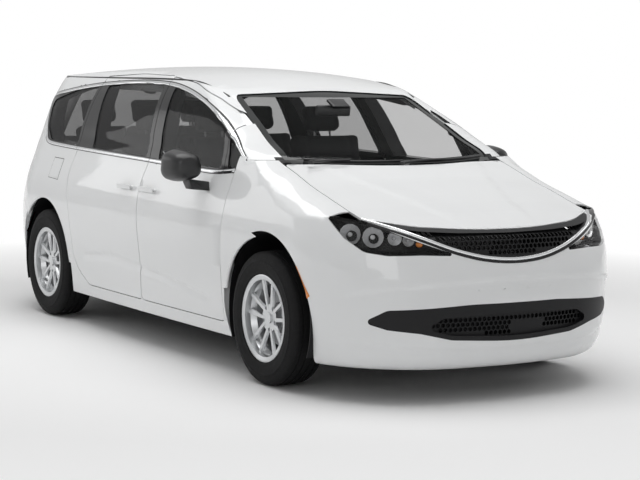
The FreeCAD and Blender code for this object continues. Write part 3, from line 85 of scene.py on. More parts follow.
# Studio. A white sweep of floor, a broad softbox overhead and two weaker ones at the sides.
# The backdrop is plain white and the floor keeps the shadow under the sills.
class Value:
    """A number inside a material that takes Python arithmetic."""

    def __init__(self, finish, socket):
        self.finish = finish
        self.socket = socket

    def _math(self, operation, first, second):
        made = self.finish.node("ShaderNodeMath", {"operation": operation}, {0: first, 1: second})
        return Value(self.finish, made.outputs[0])

    def __add__(self, other):
        return self._math("ADD", self, other)

    def __sub__(self, other):
        return self._math("SUBTRACT", self, other)

    def __mul__(self, other):
        return self._math("MULTIPLY", self, other)

    def __truediv__(self, other):
        return self._math("DIVIDE", self, other)

    def above(self, other):
        return self._math("GREATER_THAN", self, other)

    def below(self, other):
        return self._math("LESS_THAN", self, other)

    def power(self, other):
        return self._math("POWER", self, other)

    def larger(self, other):
        return self._math("MAXIMUM", self, other)

    def angle_over(self, run):
        return self._math("ARCTAN2", self, run)

    def absolute(self):
        return self._math("ABSOLUTE", self, 0.0)

    def fraction(self):
        return self._math("FRACT", self, 0.0)

    def sine(self):
        return self._math("SINE", self, 0.0)

    def clamped(self):
        return self._math("MAXIMUM", self._math("MINIMUM", self, 1.0), 0.0)


class Finish:
    """A material built around one Principled shader, with patterns placed by object coordinates."""

    def __init__(self, name, colour, roughness, **settings):
        self.material = bpy.data.materials.new(name)
        self.material.use_nodes = True
        self.tree = self.material.node_tree
        self.shader = self.tree.nodes["Principled BSDF"]
        self.set("Base Color", (*colour, 1.0))
        self.set("Roughness", roughness)
        for socket, value in settings.items():
            self.set(socket.replace("_", " "), value)
        self.place = None

    def set(self, socket, value):
        self.link(value, self.shader.inputs[socket])

    def link(self, value, socket):
        if isinstance(value, Value):
            value = value.socket
        if isinstance(value, bpy.types.NodeSocket):
            self.tree.links.new(value, socket)
        else:
            socket.default_value = value

    def node(self, kind, settings=None, inputs=None):
        made = self.tree.nodes.new(kind)
        for name, value in (settings or {}).items():
            setattr(made, name, value)
        for name, value in (inputs or {}).items():
            self.link(value, made.inputs[name])
        return made

    def where(self):
        if self.place is None:
            self.place = self.node("ShaderNodeTexCoord").outputs["Object"]
        return self.place

    def axis(self, letter):
        split = self.node("ShaderNodeSeparateXYZ", None, {0: self.where()})
        return Value(self, split.outputs["XYZ".index(letter)])

    def noise(self, scale, detail=2.0, stretch=(1.0, 1.0, 1.0)):
        mapped = self.node("ShaderNodeMapping", None, {"Vector": self.where(), "Scale": stretch})
        inputs = {"Vector": mapped.outputs[0], "Scale": scale, "Detail": detail}
        return Value(self, self.node("ShaderNodeTexNoise", None, inputs).outputs[0])

    def mix(self, factor, first, second):
        colours = {0: factor, 6: (*first, 1.0), 7: (*second, 1.0)}
        return self.node("ShaderNodeMix", {"data_type": "RGBA"}, colours).outputs[2]

    def bump(self, height, distance, strength=1.0):
        inputs = {"Height": height, "Distance": distance, "Strength": strength}
        self.set("Normal", self.node("ShaderNodeBump", None, inputs).outputs[0])

    def grained(self, scale, distance, strength):
        self.bump(self.noise(scale), distance, strength)
        return self


scene = bpy.context.scene
scene.view_settings.view_transform = "Standard"

world = bpy.data.worlds.new("studio")
scene.world = world
world.use_nodes = True
room_nodes = world.node_tree.nodes
room_links = world.node_tree.links
room_light = 0.36
reflected_room = 0.34
sky = room_nodes["Background"]
sky.inputs["Color"].default_value = (1.0, 1.0, 1.0, 1.0)
seen = room_nodes.new("ShaderNodeLightPath")
mirror_rays = room_nodes.new("ShaderNodeMath")
mirror_rays.operation = "MULTIPLY"
mirror_rays.inputs[1].default_value = reflected_room
room_links.new(seen.outputs["Is Glossy Ray"], mirror_rays.inputs[0])
direct_rays = room_nodes.new("ShaderNodeMath")
direct_rays.operation = "MAXIMUM"
room_links.new(seen.outputs["Is Camera Ray"], direct_rays.inputs[0])
room_links.new(mirror_rays.outputs[0], direct_rays.inputs[1])
brightness = room_nodes.new("ShaderNodeMix")
brightness.inputs[2].default_value = room_light
brightness.inputs[3].default_value = 1.0
room_links.new(direct_rays.outputs[0], brightness.inputs[0])
room_links.new(brightness.outputs[0], sky.inputs["Strength"])

floor_half_width = 60.0
floor_drop = 0.001
floor_mesh = bpy.data.meshes.new("studio_floor")
shape = bmesh.new()
bmesh.ops.create_grid(shape, x_segments=1, y_segments=1, size=floor_half_width)
bmesh.ops.translate(shape, verts=shape.verts, vec=(0, 0, -floor_drop))
shape.to_mesh(floor_mesh)
shape.free()
floor = bpy.data.objects.new("studio_floor", floor_mesh)
scene.collection.objects.link(floor)
floor_finish = Finish("studio_floor", (0.90, 0.90, 0.90), 0.9)
lit_radius = 3.4
sweep_width = 3.0
squared = floor_finish.axis("X") * floor_finish.axis("X") + floor_finish.axis("Y") * floor_finish.axis("Y")
far_out = (squared.power(0.5) - lit_radius) / sweep_width
rays = floor_finish.node("ShaderNodeLightPath").outputs
direct = Value(floor_finish, rays["Is Camera Ray"]).larger(Value(floor_finish, rays["Is Glossy Ray"]))
glow = floor_finish.node("ShaderNodeEmission", None, {"Color": (1.0, 1.0, 1.0, 1.0), "Strength": 1.0})
surfaces = {0: far_out.clamped() * direct, 1: floor_finish.shader.outputs[0], 2: glow.outputs[0]}
swept = floor_finish.node("ShaderNodeMixShader", None, surfaces)
floor_finish.tree.links.new(swept.outputs[0], floor_finish.tree.nodes["Material Output"].inputs["Surface"])
floor_mesh.materials.append(floor_finish.material)
floor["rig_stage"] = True

# Softboxes: name, place, aim, width, depth, watts
SOFTBOXES = (
    ("overhead", (0.5, -0.5, 6.5), (0.0, 0.0, 0.0), 8.0, 5.0, 330.0),
    ("front_fill", (9.0, -7.0, 3.5), (0.5, 0.0, 0.8), 5.0, 3.0, 80.0),
    ("rear_fill", (-8.0, -6.0, 3.5), (-1.0, 0.0, 0.8), 5.0, 3.0, 50.0),
    ("far_fill", (2.0, 9.0, 4.0), (0.0, 0.0, 0.8), 6.0, 3.0, 70.0),
)
for name, place, target, width, depth, power in SOFTBOXES:
    lamp = bpy.data.lights.new(name, "AREA")
    lamp.shape = "RECTANGLE"
    lamp.size = width
    lamp.size_y = depth
    lamp.energy = power
    holder = bpy.data.objects.new(name, lamp)
    holder.location = place
    holder.rotation_euler = (Vector(target) - Vector(place)).to_track_quat("-Z", "Y").to_euler()
    scene.collection.objects.link(holder)

# Camera. It stands ahead of the right front corner with a long lens, at about the height of the
# roof, and looks slightly down.
camera_place = Vector((9.895, -5.562, 1.714))
camera_heading = math.radians(149.184)
camera_pitch = math.radians(-5.508)
camera_roll = math.radians(0.731)
focal_pixels = 1763.9
frame_width_pixels = 640
sensor_width = 36.0
looking = Vector((
    math.cos(camera_pitch) * math.cos(camera_heading),
    math.cos(camera_pitch) * math.sin(camera_heading),
    math.sin(camera_pitch),
))
level = looking.cross(Vector((0, 0, 1))).normalized()
upright = level.cross(looking)
right_way = level * math.cos(camera_roll) + upright * math.sin(camera_roll)
up_way = upright * math.cos(camera_roll) - level * math.sin(camera_roll)
camera = bpy.data.objects.new("camera", bpy.data.cameras.new("camera"))
camera.data.sensor_width = sensor_width
camera.data.lens = sensor_width * focal_pixels / frame_width_pixels
camera.data.clip_end = 200.0
turn = Matrix((right_way, up_way, -looking)).transposed()
camera.matrix_world = Matrix.Translation(camera_place) @ turn.to_4x4()
scene.collection.objects.link(camera)
scene.camera = camera


# Body panels. Pressed steel in white paint under clear coat, smooth across each panel, with dark
# moulded trim on the faces that look into the cabin.
def linked(name, shape, finishes, body, crease=28.0):
    """Turns a bmesh into a piece that rides on a body, smooth but for edges over the crease angle."""
    mesh = bpy.data.meshes.new(name)
    shape.to_mesh(mesh)
    shape.free()
    for finish in finishes:
        mesh.materials.append(finish.material)
    piece = bpy.data.objects.new(name, mesh)
    scene.collection.objects.link(piece)
    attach(piece, body)
    if crease:
        mesh.shade_smooth()
        mesh.set_sharp_from_angle(angle=math.radians(crease))
    return piece


weld_distance = 0.00001
cad_weld_distance = 0.00002


def cad_copy(name):
    """The merged mesh of a CAD node."""
    shape = bmesh.new()
    shape.from_mesh(nodes[name].data)
    bmesh.ops.remove_doubles(shape, verts=shape.verts, dist=cad_weld_distance)
    return shape


def body_of(name):
    return nodes[name]["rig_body"]


paint = Finish("white_paint", (0.80, 0.81, 0.815), 0.42, Coat_Weight=1.0, Coat_Roughness=0.04)
paint.grained(900.0, 0.00002, 0.15)
trim_grey = Finish("cabin_trim", (0.030, 0.030, 0.031), 0.8, Specular_IOR_Level=0.3)
trim_grey.grained(700.0, 0.0002, 0.6)
headliner = Finish("headliner", (0.13, 0.13, 0.128), 0.95).grained(900.0, 0.0003, 0.6)
gloss_black = Finish("gloss_black", (0.010, 0.010, 0.011), 0.14, Specular_IOR_Level=0.35)

# Line of the side window band as (x, z), round from the front sill: the moulding runs on it
WINDOW_BAND = (
    (0.883, 1.124), (0.460, 1.137), (0.046, 1.150), (-0.550, 1.161), (-1.122, 1.173), (-1.450, 1.182),
    (-1.620, 1.188), (-1.700, 1.200), (-1.755, 1.232), (-1.860, 1.352), (-1.945, 1.448), (-1.972, 1.486),
    (-1.955, 1.508), (-1.900, 1.520), (-1.516, 1.570), (-1.122, 1.604), (-0.605, 1.624), (-0.300, 1.624),
    (-0.030, 1.613), (0.260, 1.572), (0.531, 1.509), (0.720, 1.447), (0.882, 1.380), (1.050, 1.293),
    (1.209, 1.208), (1.243, 1.186), (1.243, 1.172), (1.215, 1.158), (1.050, 1.135),
)
BAND_SIDES = tuple(zip(WINDOW_BAND, WINDOW_BAND[1:] + WINDOW_BAND[:1]))
band_slack = 0.008


def in_band(x, z):
    """Whether a point seen from the side is inside the window band, or just over its line."""
    for (x0, z0), (x1, z1) in BAND_SIDES:
        run = math.hypot(x1 - x0, z1 - z0)
        if ((x - x0) * (z1 - z0) - (z - z0) * (x1 - x0)) / run < -band_slack:
            return False
    return True


def score(shape, near, place, normal):
    """Cuts some faces along a plane, and keeps both parts."""
    edges = {edge for face in near for edge in face.edges}
    verts = {vert for face in near for vert in face.verts}
    geometry = list(verts) + list(edges) + near
    bmesh.ops.bisect_plane(shape, geom=geometry, dist=weld_distance, plane_co=place, plane_no=normal)


def score_band(shape):
    """Cuts the outer faces of a side panel along the line of the window band."""
    reach = 0.03
    for (x0, z0), (x1, z1) in BAND_SIDES:
        near = []
        for face in shape.faces:
            xs = [v.co.x for v in face.verts]
            zs = [v.co.z for v in face.verts]
            along = min(xs) < max(x0, x1) + reach and max(xs) > min(x0, x1) - reach
            level = min(zs) < max(z0, z1) + reach and max(zs) > min(z0, z1) - reach
            if along and level:
                near.append(face)
        if near:
            score(shape, near, (x0, 0, z0), (z1 - z0, 0, x0 - x1))


def slotted(points, value):
    """Straight line reading of a list of (place, height) pairs."""
    for (a, low), (b, high) in zip(points, points[1:]):
        if value <= b:
            return low + (high - low) * max(0.0, (value - a) / (b - a))
    return points[-1][1]


def eased(share):
    """A share from nothing to one, with soft ends."""
    share = max(0.0, min(1.0, share))
    return share * share * (3 - 2 * share)


def pressed(below, run, fade):
    """Share of a crease's depth at a distance below its line: a quick fall, then a slow return."""
    return eased(below / run) * (1 - eased((below - run) / fade))


def ruled(shape, axis, start, pitch, count, reach):
    """Cuts the faces within reach along planes a set pitch apart, so that a fold has edges to bend."""
    normal = Vector((0, 0, 0))
    normal[axis] = 1.0
    for step in range(count):
        near = [face for face in shape.faces if reach(face.calc_center_median())]
        score(shape, near, normal * (start + pitch * step), normal)
    shape.normal_update()


# The fold across the nose, as (distance from the middle, height), with the lip fold under it
NOSE_FOLD = ((0.0, 0.660), (0.18, 0.657), (0.485, 0.641), (0.696, 0.621), (0.850, 0.586), (0.960, 0.560))
nose_start = 2.0
nose_low = 0.20
nose_high = 0.70
nose_fold_depth = 0.007
nose_fold_run = 0.030
nose_fold_fade = 0.125
nose_swell = 0.004
nose_swell_run = 0.09
nose_side_limit = 0.90
nose_side_fade = 0.10
LIP_FOLD = ((0.0, 0.292), (0.38, 0.298), (0.62, 0.318), (0.83, 0.345), (0.960, 0.360))
lip_fold_depth = 0.006
lip_fold_run = 0.02
lip_fold_fade = 0.05

# The ridge on each half of the bonnet, as (x, distance from the middle)
BONNET_RIDGE = ((1.50, 0.560), (1.80, 0.430), (2.10, 0.330), (2.40, 0.270))
bonnet_low = 0.90
ridge_height = 0.0055
ridge_run = 0.045
ridge_fall = 0.6
ridge_fade = 0.2
ridge_rear = 1.42
ridge_rear_fade = 0.12
ridge_front = 2.44
ridge_front_fade = 0.20

# The top of the scallop low on the doors, as (x, z)
SCALLOP_TOP = ((-0.80, 0.505), (-0.36, 0.546), (0.05, 0.522), (0.50, 0.483), (0.93, 0.431), (0.99, 0.415))
scallop_low = 0.33
scallop_high = 0.56
scallop_depth = 0.007
scallop_run = 0.014
scallop_fade = 0.055
scallop_rear = -0.84
scallop_rear_fade = 0.12
scallop_front = 1.00
scallop_front_fade = 0.10
door_side = 0.93


def faded(distance, run):
    """Rises evenly from nothing to one over a run."""
    return min(1.0, max(0.0, distance / run))


def fold_nose(shape):
    def reach(middle):
        return middle.x > nose_start and nose_low < middle.z < nose_high

    ruled(shape, 2, 0.24, 0.012, 37, reach)
    ruled(shape, 1, -0.95, 0.05, 39, reach)
    for vert in shape.verts:
        if vert.co.x > nose_start and vert.normal.x > -0.1:
            side = abs(vert.co.y)
            below = slotted(NOSE_FOLD, side) - vert.co.z
            lip = slotted(LIP_FOLD, side) - vert.co.z
            swell = nose_swell * (1 - eased(below / nose_fold_run if below > 0 else -below / nose_swell_run))
            fold = nose_fold_depth * pressed(below, nose_fold_run, nose_fold_fade)
            lip_fold = lip_fold_depth * pressed(lip, lip_fold_run, lip_fold_fade)
            outward = Vector((vert.normal.x, vert.normal.y, 0.0))
            vert.co += outward * (swell - fold - lip_fold) * faded(nose_side_limit - side, nose_side_fade)


def fold_bonnet(shape):
    def reach(middle):
        return middle.z > bonnet_low

    ruled(shape, 1, -0.64, 0.02, 65, reach)
    ruled(shape, 0, 1.45, 0.08, 13, reach)
    for vert in shape.verts:
        if vert.normal.z > 0.5:
            inside = slotted(BONNET_RIDGE, vert.co.x) - abs(vert.co.y)
            rise = eased(inside / ridge_run) * (1 - ridge_fall * eased((inside - ridge_run) / ridge_fade))
            rise *= faded(vert.co.x - ridge_rear, ridge_rear_fade)
            rise *= faded(ridge_front - vert.co.x, ridge_front_fade)
            vert.co.z += ridge_height * rise


def fold_side(shape):
    def reach(middle):
        level = scallop_low < middle.z < scallop_high
        return level and abs(middle.y) > door_side and -0.9 < middle.x < 1.1

    ruled(shape, 2, 0.37, 0.012, 16, reach)
    ruled(shape, 0, -0.86, 0.05, 38, reach)
    for vert in shape.verts:
        outward = vert.normal.y * (1 if vert.co.y > 0 else -1)
        if outward > 0.5 and abs(vert.co.y) > door_side:
            below = slotted(SCALLOP_TOP, vert.co.x) - vert.co.z
            depth = scallop_depth * pressed(below, scallop_run, scallop_fade)
            depth *= eased((vert.co.x - scallop_rear) / scallop_rear_fade)
            depth *= eased((scallop_front - vert.co.x) / scallop_front_fade)
            vert.co.y -= math.copysign(depth, vert.co.y)


FOLDS = {
    "front_bumper": fold_nose,
    "bonnet": fold_bonnet,
    "front_door_right": fold_side,
    "front_door_left": fold_side,
    "sliding_doors": fold_side,
}


def folded(name):
    """A panel's CAD mesh with its folds pressed in."""
    shape = cad_copy(name)
    if name in FOLDS:
        FOLDS[name](shape)
    return shape


# Faces that look inwards, and the rims of the window openings, are cabin trim
SIDE_PANELS = ("front_door_right", "front_door_left", "sliding_doors", "side_frames")
window_sill = 1.13
for name in SIDE_PANELS:
    shape = folded(name)
    score_band(shape)
    shape.normal_update()
    for face in shape.faces:
        middle = face.calc_center_median()
        outward = face.normal.y * (1 if middle.y > 0 else -1)
        inside = outward < -0.3 or (middle.z > window_sill and outward < 0.35 and face.normal.z < 0.3)
        face.material_index = 1 if inside else 2 if in_band(middle.x, middle.z) else 0
    piece = linked(name + "_shell", shape, [paint, trim_grey, gloss_black], body_of(name))
    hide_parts(name)

OUTER_PANELS = ("roof_panel", "tailgate", "bonnet", "front_fenders", "front_bumper", "rear_bumper")
tailgate_sill = 1.17
for name in OUTER_PANELS:
    shape = folded(name)
    for face in shape.faces:
        inside = name == "roof_panel" and face.normal.z < -0.5
        if name == "tailgate":
            above_sill = face.calc_center_median().z > tailgate_sill
            inside = face.normal.x > 0.3 or (above_sill and face.normal.x > -0.2)
        face.material_index = 1 if inside else 0
    lining = headliner if name == "roof_panel" else trim_grey
    piece = linked(name + "_shell", shape, [paint, lining], body_of(name))
    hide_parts(name)

# Glass. The laminated windscreen and the front door panes are nearly clear, with a black border
# baked round the windscreen. The panes behind the front doors are dark privacy glass.
clear_glass = Finish("clear_glass", (0.01, 0.012, 0.012), 0.02, Alpha=0.16)
door_glass = Finish("door_glass", (0.008, 0.009, 0.009), 0.02, Alpha=0.24, Specular_IOR_Level=0.35)
privacy_glass = Finish("privacy_glass", (0.006, 0.006, 0.007), 0.02, Alpha=0.40, Specular_IOR_Level=0.35)
GLASS_FINISH = {
    "windscreen": clear_glass,
    "front_door_glass_right": door_glass,
    "front_door_glass_left": door_glass,
    "front_quarter_glass": door_glass,
    "sliding_door_glass": privacy_glass,
    "quarter_glass": privacy_glass,
    "tailgate_glass": privacy_glass,
}
pillar_lean = 0.262
side_limit = 0.983
foot_bow = 0.045
foot_limit = 1.205
head_limit = 1.548
clear_share = 0.08
border_share = 0.90
across = clear_glass.axis("Y")
height = clear_glass.axis("Z")
side_border = (across.absolute() + height * pillar_lean).above(side_limit)
foot_border = (height - across * across * foot_bow).below(foot_limit)
border = side_border.larger(foot_border).larger(height.above(head_limit))
clear_glass.set("Alpha", border * border_share + clear_share)
for name, finish in GLASS_FINISH.items():
    piece = linked(name + "_pane", cad_copy(name), [finish], body_of(name))
    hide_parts(name)

# Window moulding. A bright bead of anodised aluminium on a thin black seal runs round the side
# glass, and it is parted where the doors part. It is drawn along the band's line and laid on the
# panels by rays cast from the side.
ray_start = 2.0
far_side = -0.4


def skin(*names):
    """A tree of the surfaces of some CAD nodes, to cast rays on."""
    shape = bmesh.new()
    for name in names:
        shape.from_mesh(nodes[name].data)
    return BVHTree.FromBMesh(shape)


def side_surface(tree, x, z, spread=0.014):
    """How far out the right side stands at a point, with the gaps between panels bridged."""
    found = []
    for dx, dz in ((0.0, 0.0), (spread, 0.0), (0.0, spread)):
        pair = []
        for sign in (1, -1):
            hit = tree.ray_cast(Vector((x + sign * dx, -ray_start, z + sign * dz)), Vector((0, 1, 0)))[0]
            if hit is not None and hit.y < far_side:
                pair.append(hit.y)
        if len(pair) == 2:
            found.append(sum(pair) / 2)
    return min(found) if found else None


bead_rounds = 3
bead_steps = 6


def bead(points, radius, closed=False):
    """A round bead drawn along a line of points."""
    curve = bpy.data.curves.new("bead", "CURVE")
    curve.dimensions = "3D"
    curve.bevel_depth = radius
    curve.bevel_resolution = bead_rounds
    curve.use_fill_caps = True
    spline = curve.splines.new("NURBS")
    spline.points.add(len(points) - 1)
    for point, place in zip(spline.points, points):
        point.co = (*place, 1.0)
    spline.use_cyclic_u = closed
    spline.use_endpoint_u = not closed
    spline.order_u = 3
    spline.resolution_u = bead_steps
    holder = bpy.data.objects.new("bead", curve)
    mesh = bpy.data.meshes.new_from_object(holder)
    shape = bmesh.new()
    shape.from_mesh(mesh)
    bpy.data.objects.remove(holder)
    bpy.data.curves.remove(curve)
    bpy.data.meshes.remove(mesh)
    bmesh.ops.remove_doubles(shape, verts=shape.verts, dist=weld_distance)
    bmesh.ops.recalc_face_normals(shape, faces=shape.faces)
    return shape


def joined(shapes):
    """Several bmeshes as one."""
    whole = bmesh.new()
    for shape in shapes:
        held = bpy.data.meshes.new("held")
        shape.to_mesh(held)
        shape.free()
        whole.from_mesh(held)
        bpy.data.meshes.remove(held)
    return whole


def mirrored(shape):
    """The left hand copy of a right hand shape."""
    other = shape.copy()
    bmesh.ops.scale(other, vec=(1, -1, 1), verts=other.verts)
    bmesh.ops.reverse_faces(other, faces=other.faces)
    return other


def both_sides(shape):
    return joined([mirrored(shape), shape])


def clipped(shape, place, normal):
    """The part of a closed shape behind a plane, with the cut closed."""
    part = shape.copy()
    geometry = part.verts[:] + part.edges[:] + part.faces[:]
    bmesh.ops.bisect_plane(
        part, geom=geometry, dist=weld_distance, plane_co=place, plane_no=normal, clear_outer=True
    )
    bmesh.ops.holes_fill(part, edges=[edge for edge in part.edges if edge.is_boundary])
    return part


def tinted(shape, index):
    for face in shape.faces:
        face.material_index = index
    return shape


SIDE_PANES = ("front_door_glass_right", "sliding_door_glass", "quarter_glass", "front_quarter_glass")
side_tree = skin(*SIDE_PANELS, *SIDE_PANES)
bright_metal = Finish("bright_moulding", (0.78, 0.79, 0.80), 0.16, Metallic=1.0)
bright_metal.bump(bright_metal.noise(300.0, 2.0, (0.05, 1.0, 1.0)), 0.00005, 0.3)
seal_black = Finish("black_seal", (0.01, 0.01, 0.01), 0.5)
moulding_width = 0.021
seal_width = 0.030
moulding_flatness = 0.42
seal_flatness = 0.16
seam_gap = 0.006

# Where panels part, from the front: foot and head of each seam as (x, z)
SEAM_LINES = (
    ((1.008, 1.142), (0.925, 1.408)),
    ((0.0435, 1.150), (-0.138, 1.658)),
    ((-1.1195, 1.147), (-1.146, 1.650)),
)


def band_strip(width, flatness):
    """One strip all round the side glass, laid on the right hand panels."""
    shape = bead([(x, 0.0, z) for x, z in WINDOW_BAND], width / 2, closed=True)
    last = -0.9
    for vert in shape.verts:
        depth = side_surface(side_tree, vert.co.x, vert.co.z)
        last = depth if depth is not None else last
        vert.co.y = last + vert.co.y * flatness
    return shape


def ahead_of(strip, seam):
    """The length of a strip in front of a seam, half a gap clear of it."""
    foot, forward = seam
    return clipped(strip, foot + forward * seam_gap / 2, -forward)


def behind(strip, seam):
    """The length of a strip to the rear of a seam, half a gap clear of it."""
    foot, forward = seam
    return clipped(strip, foot - forward * seam_gap / 2, forward)


bright_strip = tinted(band_strip(moulding_width, moulding_flatness), 0)
strip = joined([bright_strip, tinted(band_strip(seal_width, seal_flatness), 1)])
seams = []
for (foot_x, foot_z), (head_x, head_z) in SEAM_LINES:
    seams.append((Vector((foot_x, 0, foot_z)), Vector((head_z - foot_z, 0, foot_x - head_x)).normalized()))
lengths = [ahead_of(strip, seams[0])]
for seam, next_seam in zip(seams, seams[1:]):
    part = behind(strip, seam)
    lengths.append(ahead_of(part, next_seam))
    part.free()
lengths.append(behind(strip, seams[-1]))
strip.free()
door_strip = lengths.pop(1)
MOULDINGS = (
    ("moulding_door_left", mirrored(door_strip), "front_door_left"),
    ("moulding_door_right", door_strip, "front_door_right"),
    ("moulding_body", joined([mirrored(part) for part in lengths] + lengths), "body"),
)
for name, shape, body in MOULDINGS:
    linked(name, shape, [bright_metal, seal_black], body, crease=50.0)

# Nose strip. A bright metal wing follows the upper edge of each lamp and dips under the grille,
# over a gloss black band. It is drawn through measured points and laid on the nose by rays.
nose_tree = skin("front_bumper", "headlamps", "grille")
NOSE_LINE = (
    (0.742, 0.950), (0.700, 0.933), (0.613, 0.901), (0.530, 0.868), (0.450, 0.836), (0.370, 0.806),
    (0.304, 0.787), (0.230, 0.769), (0.160, 0.757), (0.080, 0.749), (0.0, 0.746),
)


def nose_surface(y, z, spread=0.010):
    """How far forward the nose stands at a point, as the middle one of five readings."""
    found = []
    for dy, dz in ((0, 0), (spread, 0), (-spread, 0), (0, spread), (0, -spread)):
        hit = nose_tree.ray_cast(Vector((4.0, y + dy, z + dz)), Vector((-1, 0, 0)))[0]
        if hit is not None and hit.x > nose_start:
            found.append(hit.x)
    return sorted(found)[len(found) // 2] if found else None


def nose_bead(drop, radius, sink):
    """A bead across the nose, a set drop below the measured line."""
    line = [(y, z) for y, z in NOSE_LINE] + [(-y, z) for y, z in reversed(NOSE_LINE[:-1])]
    points = []
    for y, z in line:
        depth = nose_surface(y, z - drop)
        if depth is not None:
            points.append((depth - sink, y, z - drop))
    return bead(points, radius)


wing = tinted(nose_bead(0.0, 0.0105, 0.004), 0)
black_band = tinted(nose_bead(0.017, 0.010, 0.006), 1)
linked("nose_strip", joined([wing, black_band]), [bright_metal, gloss_black], "body", crease=50.0)

# Headlamps. A clear polycarbonate cover over a black housing that holds two large bright
# reflector bowls, two smaller ones and an amber bulb. Cover and housing are both made from the CAD
# lamp's front faces.
lens_clear = Finish("lens_clear", (0.05, 0.05, 0.05), 0.03, Alpha=0.10)
chrome = Finish("reflector_chrome", (0.95, 0.955, 0.96), 0.16, Metallic=0.65)
amber = Finish("amber_lens", (0.85, 0.26, 0.02), 0.15, Coat_Weight=1.0).grained(220.0, 0.0006, 0.6)
bulb_glass = Finish("bulb_glass", (0.85, 0.86, 0.88), 0.05, Coat_Weight=1.0)
FRONT_LEAN = Vector((0.8, 0.6, 0.0))
front_share = 0.4
lens_wall = 0.0025
housing_wall = 0.0015
housing_shrink = 0.985
HOUSING_MOVE = (-0.055, -0.030, 0.012)
housing_gap = 0.004


def lamp_front():
    """The outer faces of both headlamps, as open patches."""
    shape = cad_copy("headlamps")
    rest = []
    for face in shape.faces:
        side = 1 if face.calc_center_median().y > 0 else -1
        if face.normal.x * FRONT_LEAN.x + face.normal.y * side * FRONT_LEAN.y < front_share:
            rest.append(face)
    bmesh.ops.delete(shape, geom=rest, context="FACES")
    return shape


def walled(shape, thickness):
    """Gives open faces a wall of a set thickness."""
    bmesh.ops.solidify(shape, geom=shape.faces[:], thickness=thickness)
    bmesh.ops.recalc_face_normals(shape, faces=shape.faces)
    return shape


piece = linked("headlamp_covers", walled(lamp_front(), lens_wall), [lens_clear], "body")
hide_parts("headlamps")

shape = lamp_front()
first_faces = shape.faces[:]
grown = bmesh.ops.extrude_face_region(shape, geom=first_faces)["geom"]
for vert in grown:
    if isinstance(vert, bmesh.types.BMVert):
        side = 1 if vert.co.y > 0 else -1
        back, inward, up = HOUSING_MOVE
        vert.co = vert.co * housing_shrink + Vector((back, inward * side, up))
bmesh.ops.delete(shape, geom=[face for face in first_faces if face.is_valid], context="FACES")
bmesh.ops.translate(shape, vec=(-housing_gap, 0, 0), verts=shape.verts)
linked("headlamp_housings", walled(shape, housing_wall), [gloss_black], "body")

bowl_steps = 4
bowl_facets = 14
bowl_neck = 0.22
bulb_share = 0.24
bulb_seat = 0.62

# Bowls: place, radius, depth, facing
BOWLS = (
    ((2.250, 0.826, 0.876), 0.054, 0.052, (0.84, 0.52, 0.10)),
    ((2.340, 0.742, 0.866), 0.054, 0.052, (0.88, 0.46, 0.10)),
    ((2.405, 0.652, 0.862), 0.036, 0.036, (0.92, 0.38, 0.10)),
    ((2.443, 0.592, 0.852), 0.030, 0.030, (0.94, 0.34, 0.10)),
)
bowl_setback = Vector((-0.050, -0.034, -0.004))


def spun(shape, centre, axis, facets):
    """Turns a section right round a line, with its doubled points merged."""
    bmesh.ops.spin(
        shape, geom=shape.verts[:] + shape.edges[:], cent=centre, axis=axis, dvec=(0, 0, 0),
        angle=2 * math.pi, steps=facets, use_merge=True,
    )
    bmesh.ops.remove_doubles(shape, verts=shape.verts, dist=weld_distance)


def ball(radius, stretch, segments, rings):
    """A stretched ball for a bulb."""
    shape = bmesh.new()
    bmesh.ops.create_uvsphere(shape, u_segments=segments, v_segments=rings, radius=radius)
    bmesh.ops.scale(shape, vec=stretch, verts=shape.verts)
    return shape


shapes = []
bulbs = []
for place, radius, depth, facing in BOWLS:
    bowl = bmesh.new()
    line = []
    for step in range(bowl_steps + 1):
        share = bowl_neck + (1 - bowl_neck) * step / bowl_steps
        line.append(bowl.verts.new((radius * share, 0.0, -depth * (1 - share * share))))
    for start, end in zip(line, line[1:]):
        bowl.edges.new((start, end))
    spun(bowl, (0, 0, 0), (0, 0, 1), bowl_facets)
    walled(bowl, housing_wall)
    for side in (-1, 1):
        turn = Vector((facing[0], facing[1] * side, facing[2])).to_track_quat("Z", "Y").to_matrix().to_4x4()
        spot = Vector(place) + bowl_setback
        move = Matrix.Translation((spot.x, spot.y * side, spot.z)) @ turn
        copy = bowl.copy()
        bmesh.ops.transform(copy, matrix=move, verts=copy.verts)
        shapes.append(copy)
        bulb = ball(radius * bulb_share, (1, 1, 1.5), 20, 12)
        bmesh.ops.translate(bulb, vec=(0, 0, -depth * bulb_seat), verts=bulb.verts)
        bmesh.ops.transform(bulb, matrix=move, verts=bulb.verts)
        bulbs.append(bulb)
    bowl.free()
linked("headlamp_reflectors", joined(shapes), [chrome], "body", crease=None)
turn_bulb = (2.444, 0.527, 0.832)
turn_bulb_radius = 0.017
for side in (-1, 1):
    bulb = ball(turn_bulb_radius, (1.3, 1, 1), 24, 14)
    bmesh.ops.translate(bulb, vec=(turn_bulb[0], turn_bulb[1] * side, turn_bulb[2]), verts=bulb.verts)
    bulbs.append(tinted(bulb, 1))
linked("headlamp_bulbs", joined(bulbs), [bulb_glass, amber], "body", crease=50.0)

# Tyres. Moulded rubber, spun from a section with rounded sidewalls and four grooves round the
# tread. The sipes across the tread and the fine ribs on the sidewall are bumps in the material.
wheel_height = 0.368
tyre_middle = 0.862
AXLES = (("front", 1.592), ("rear", -1.497))

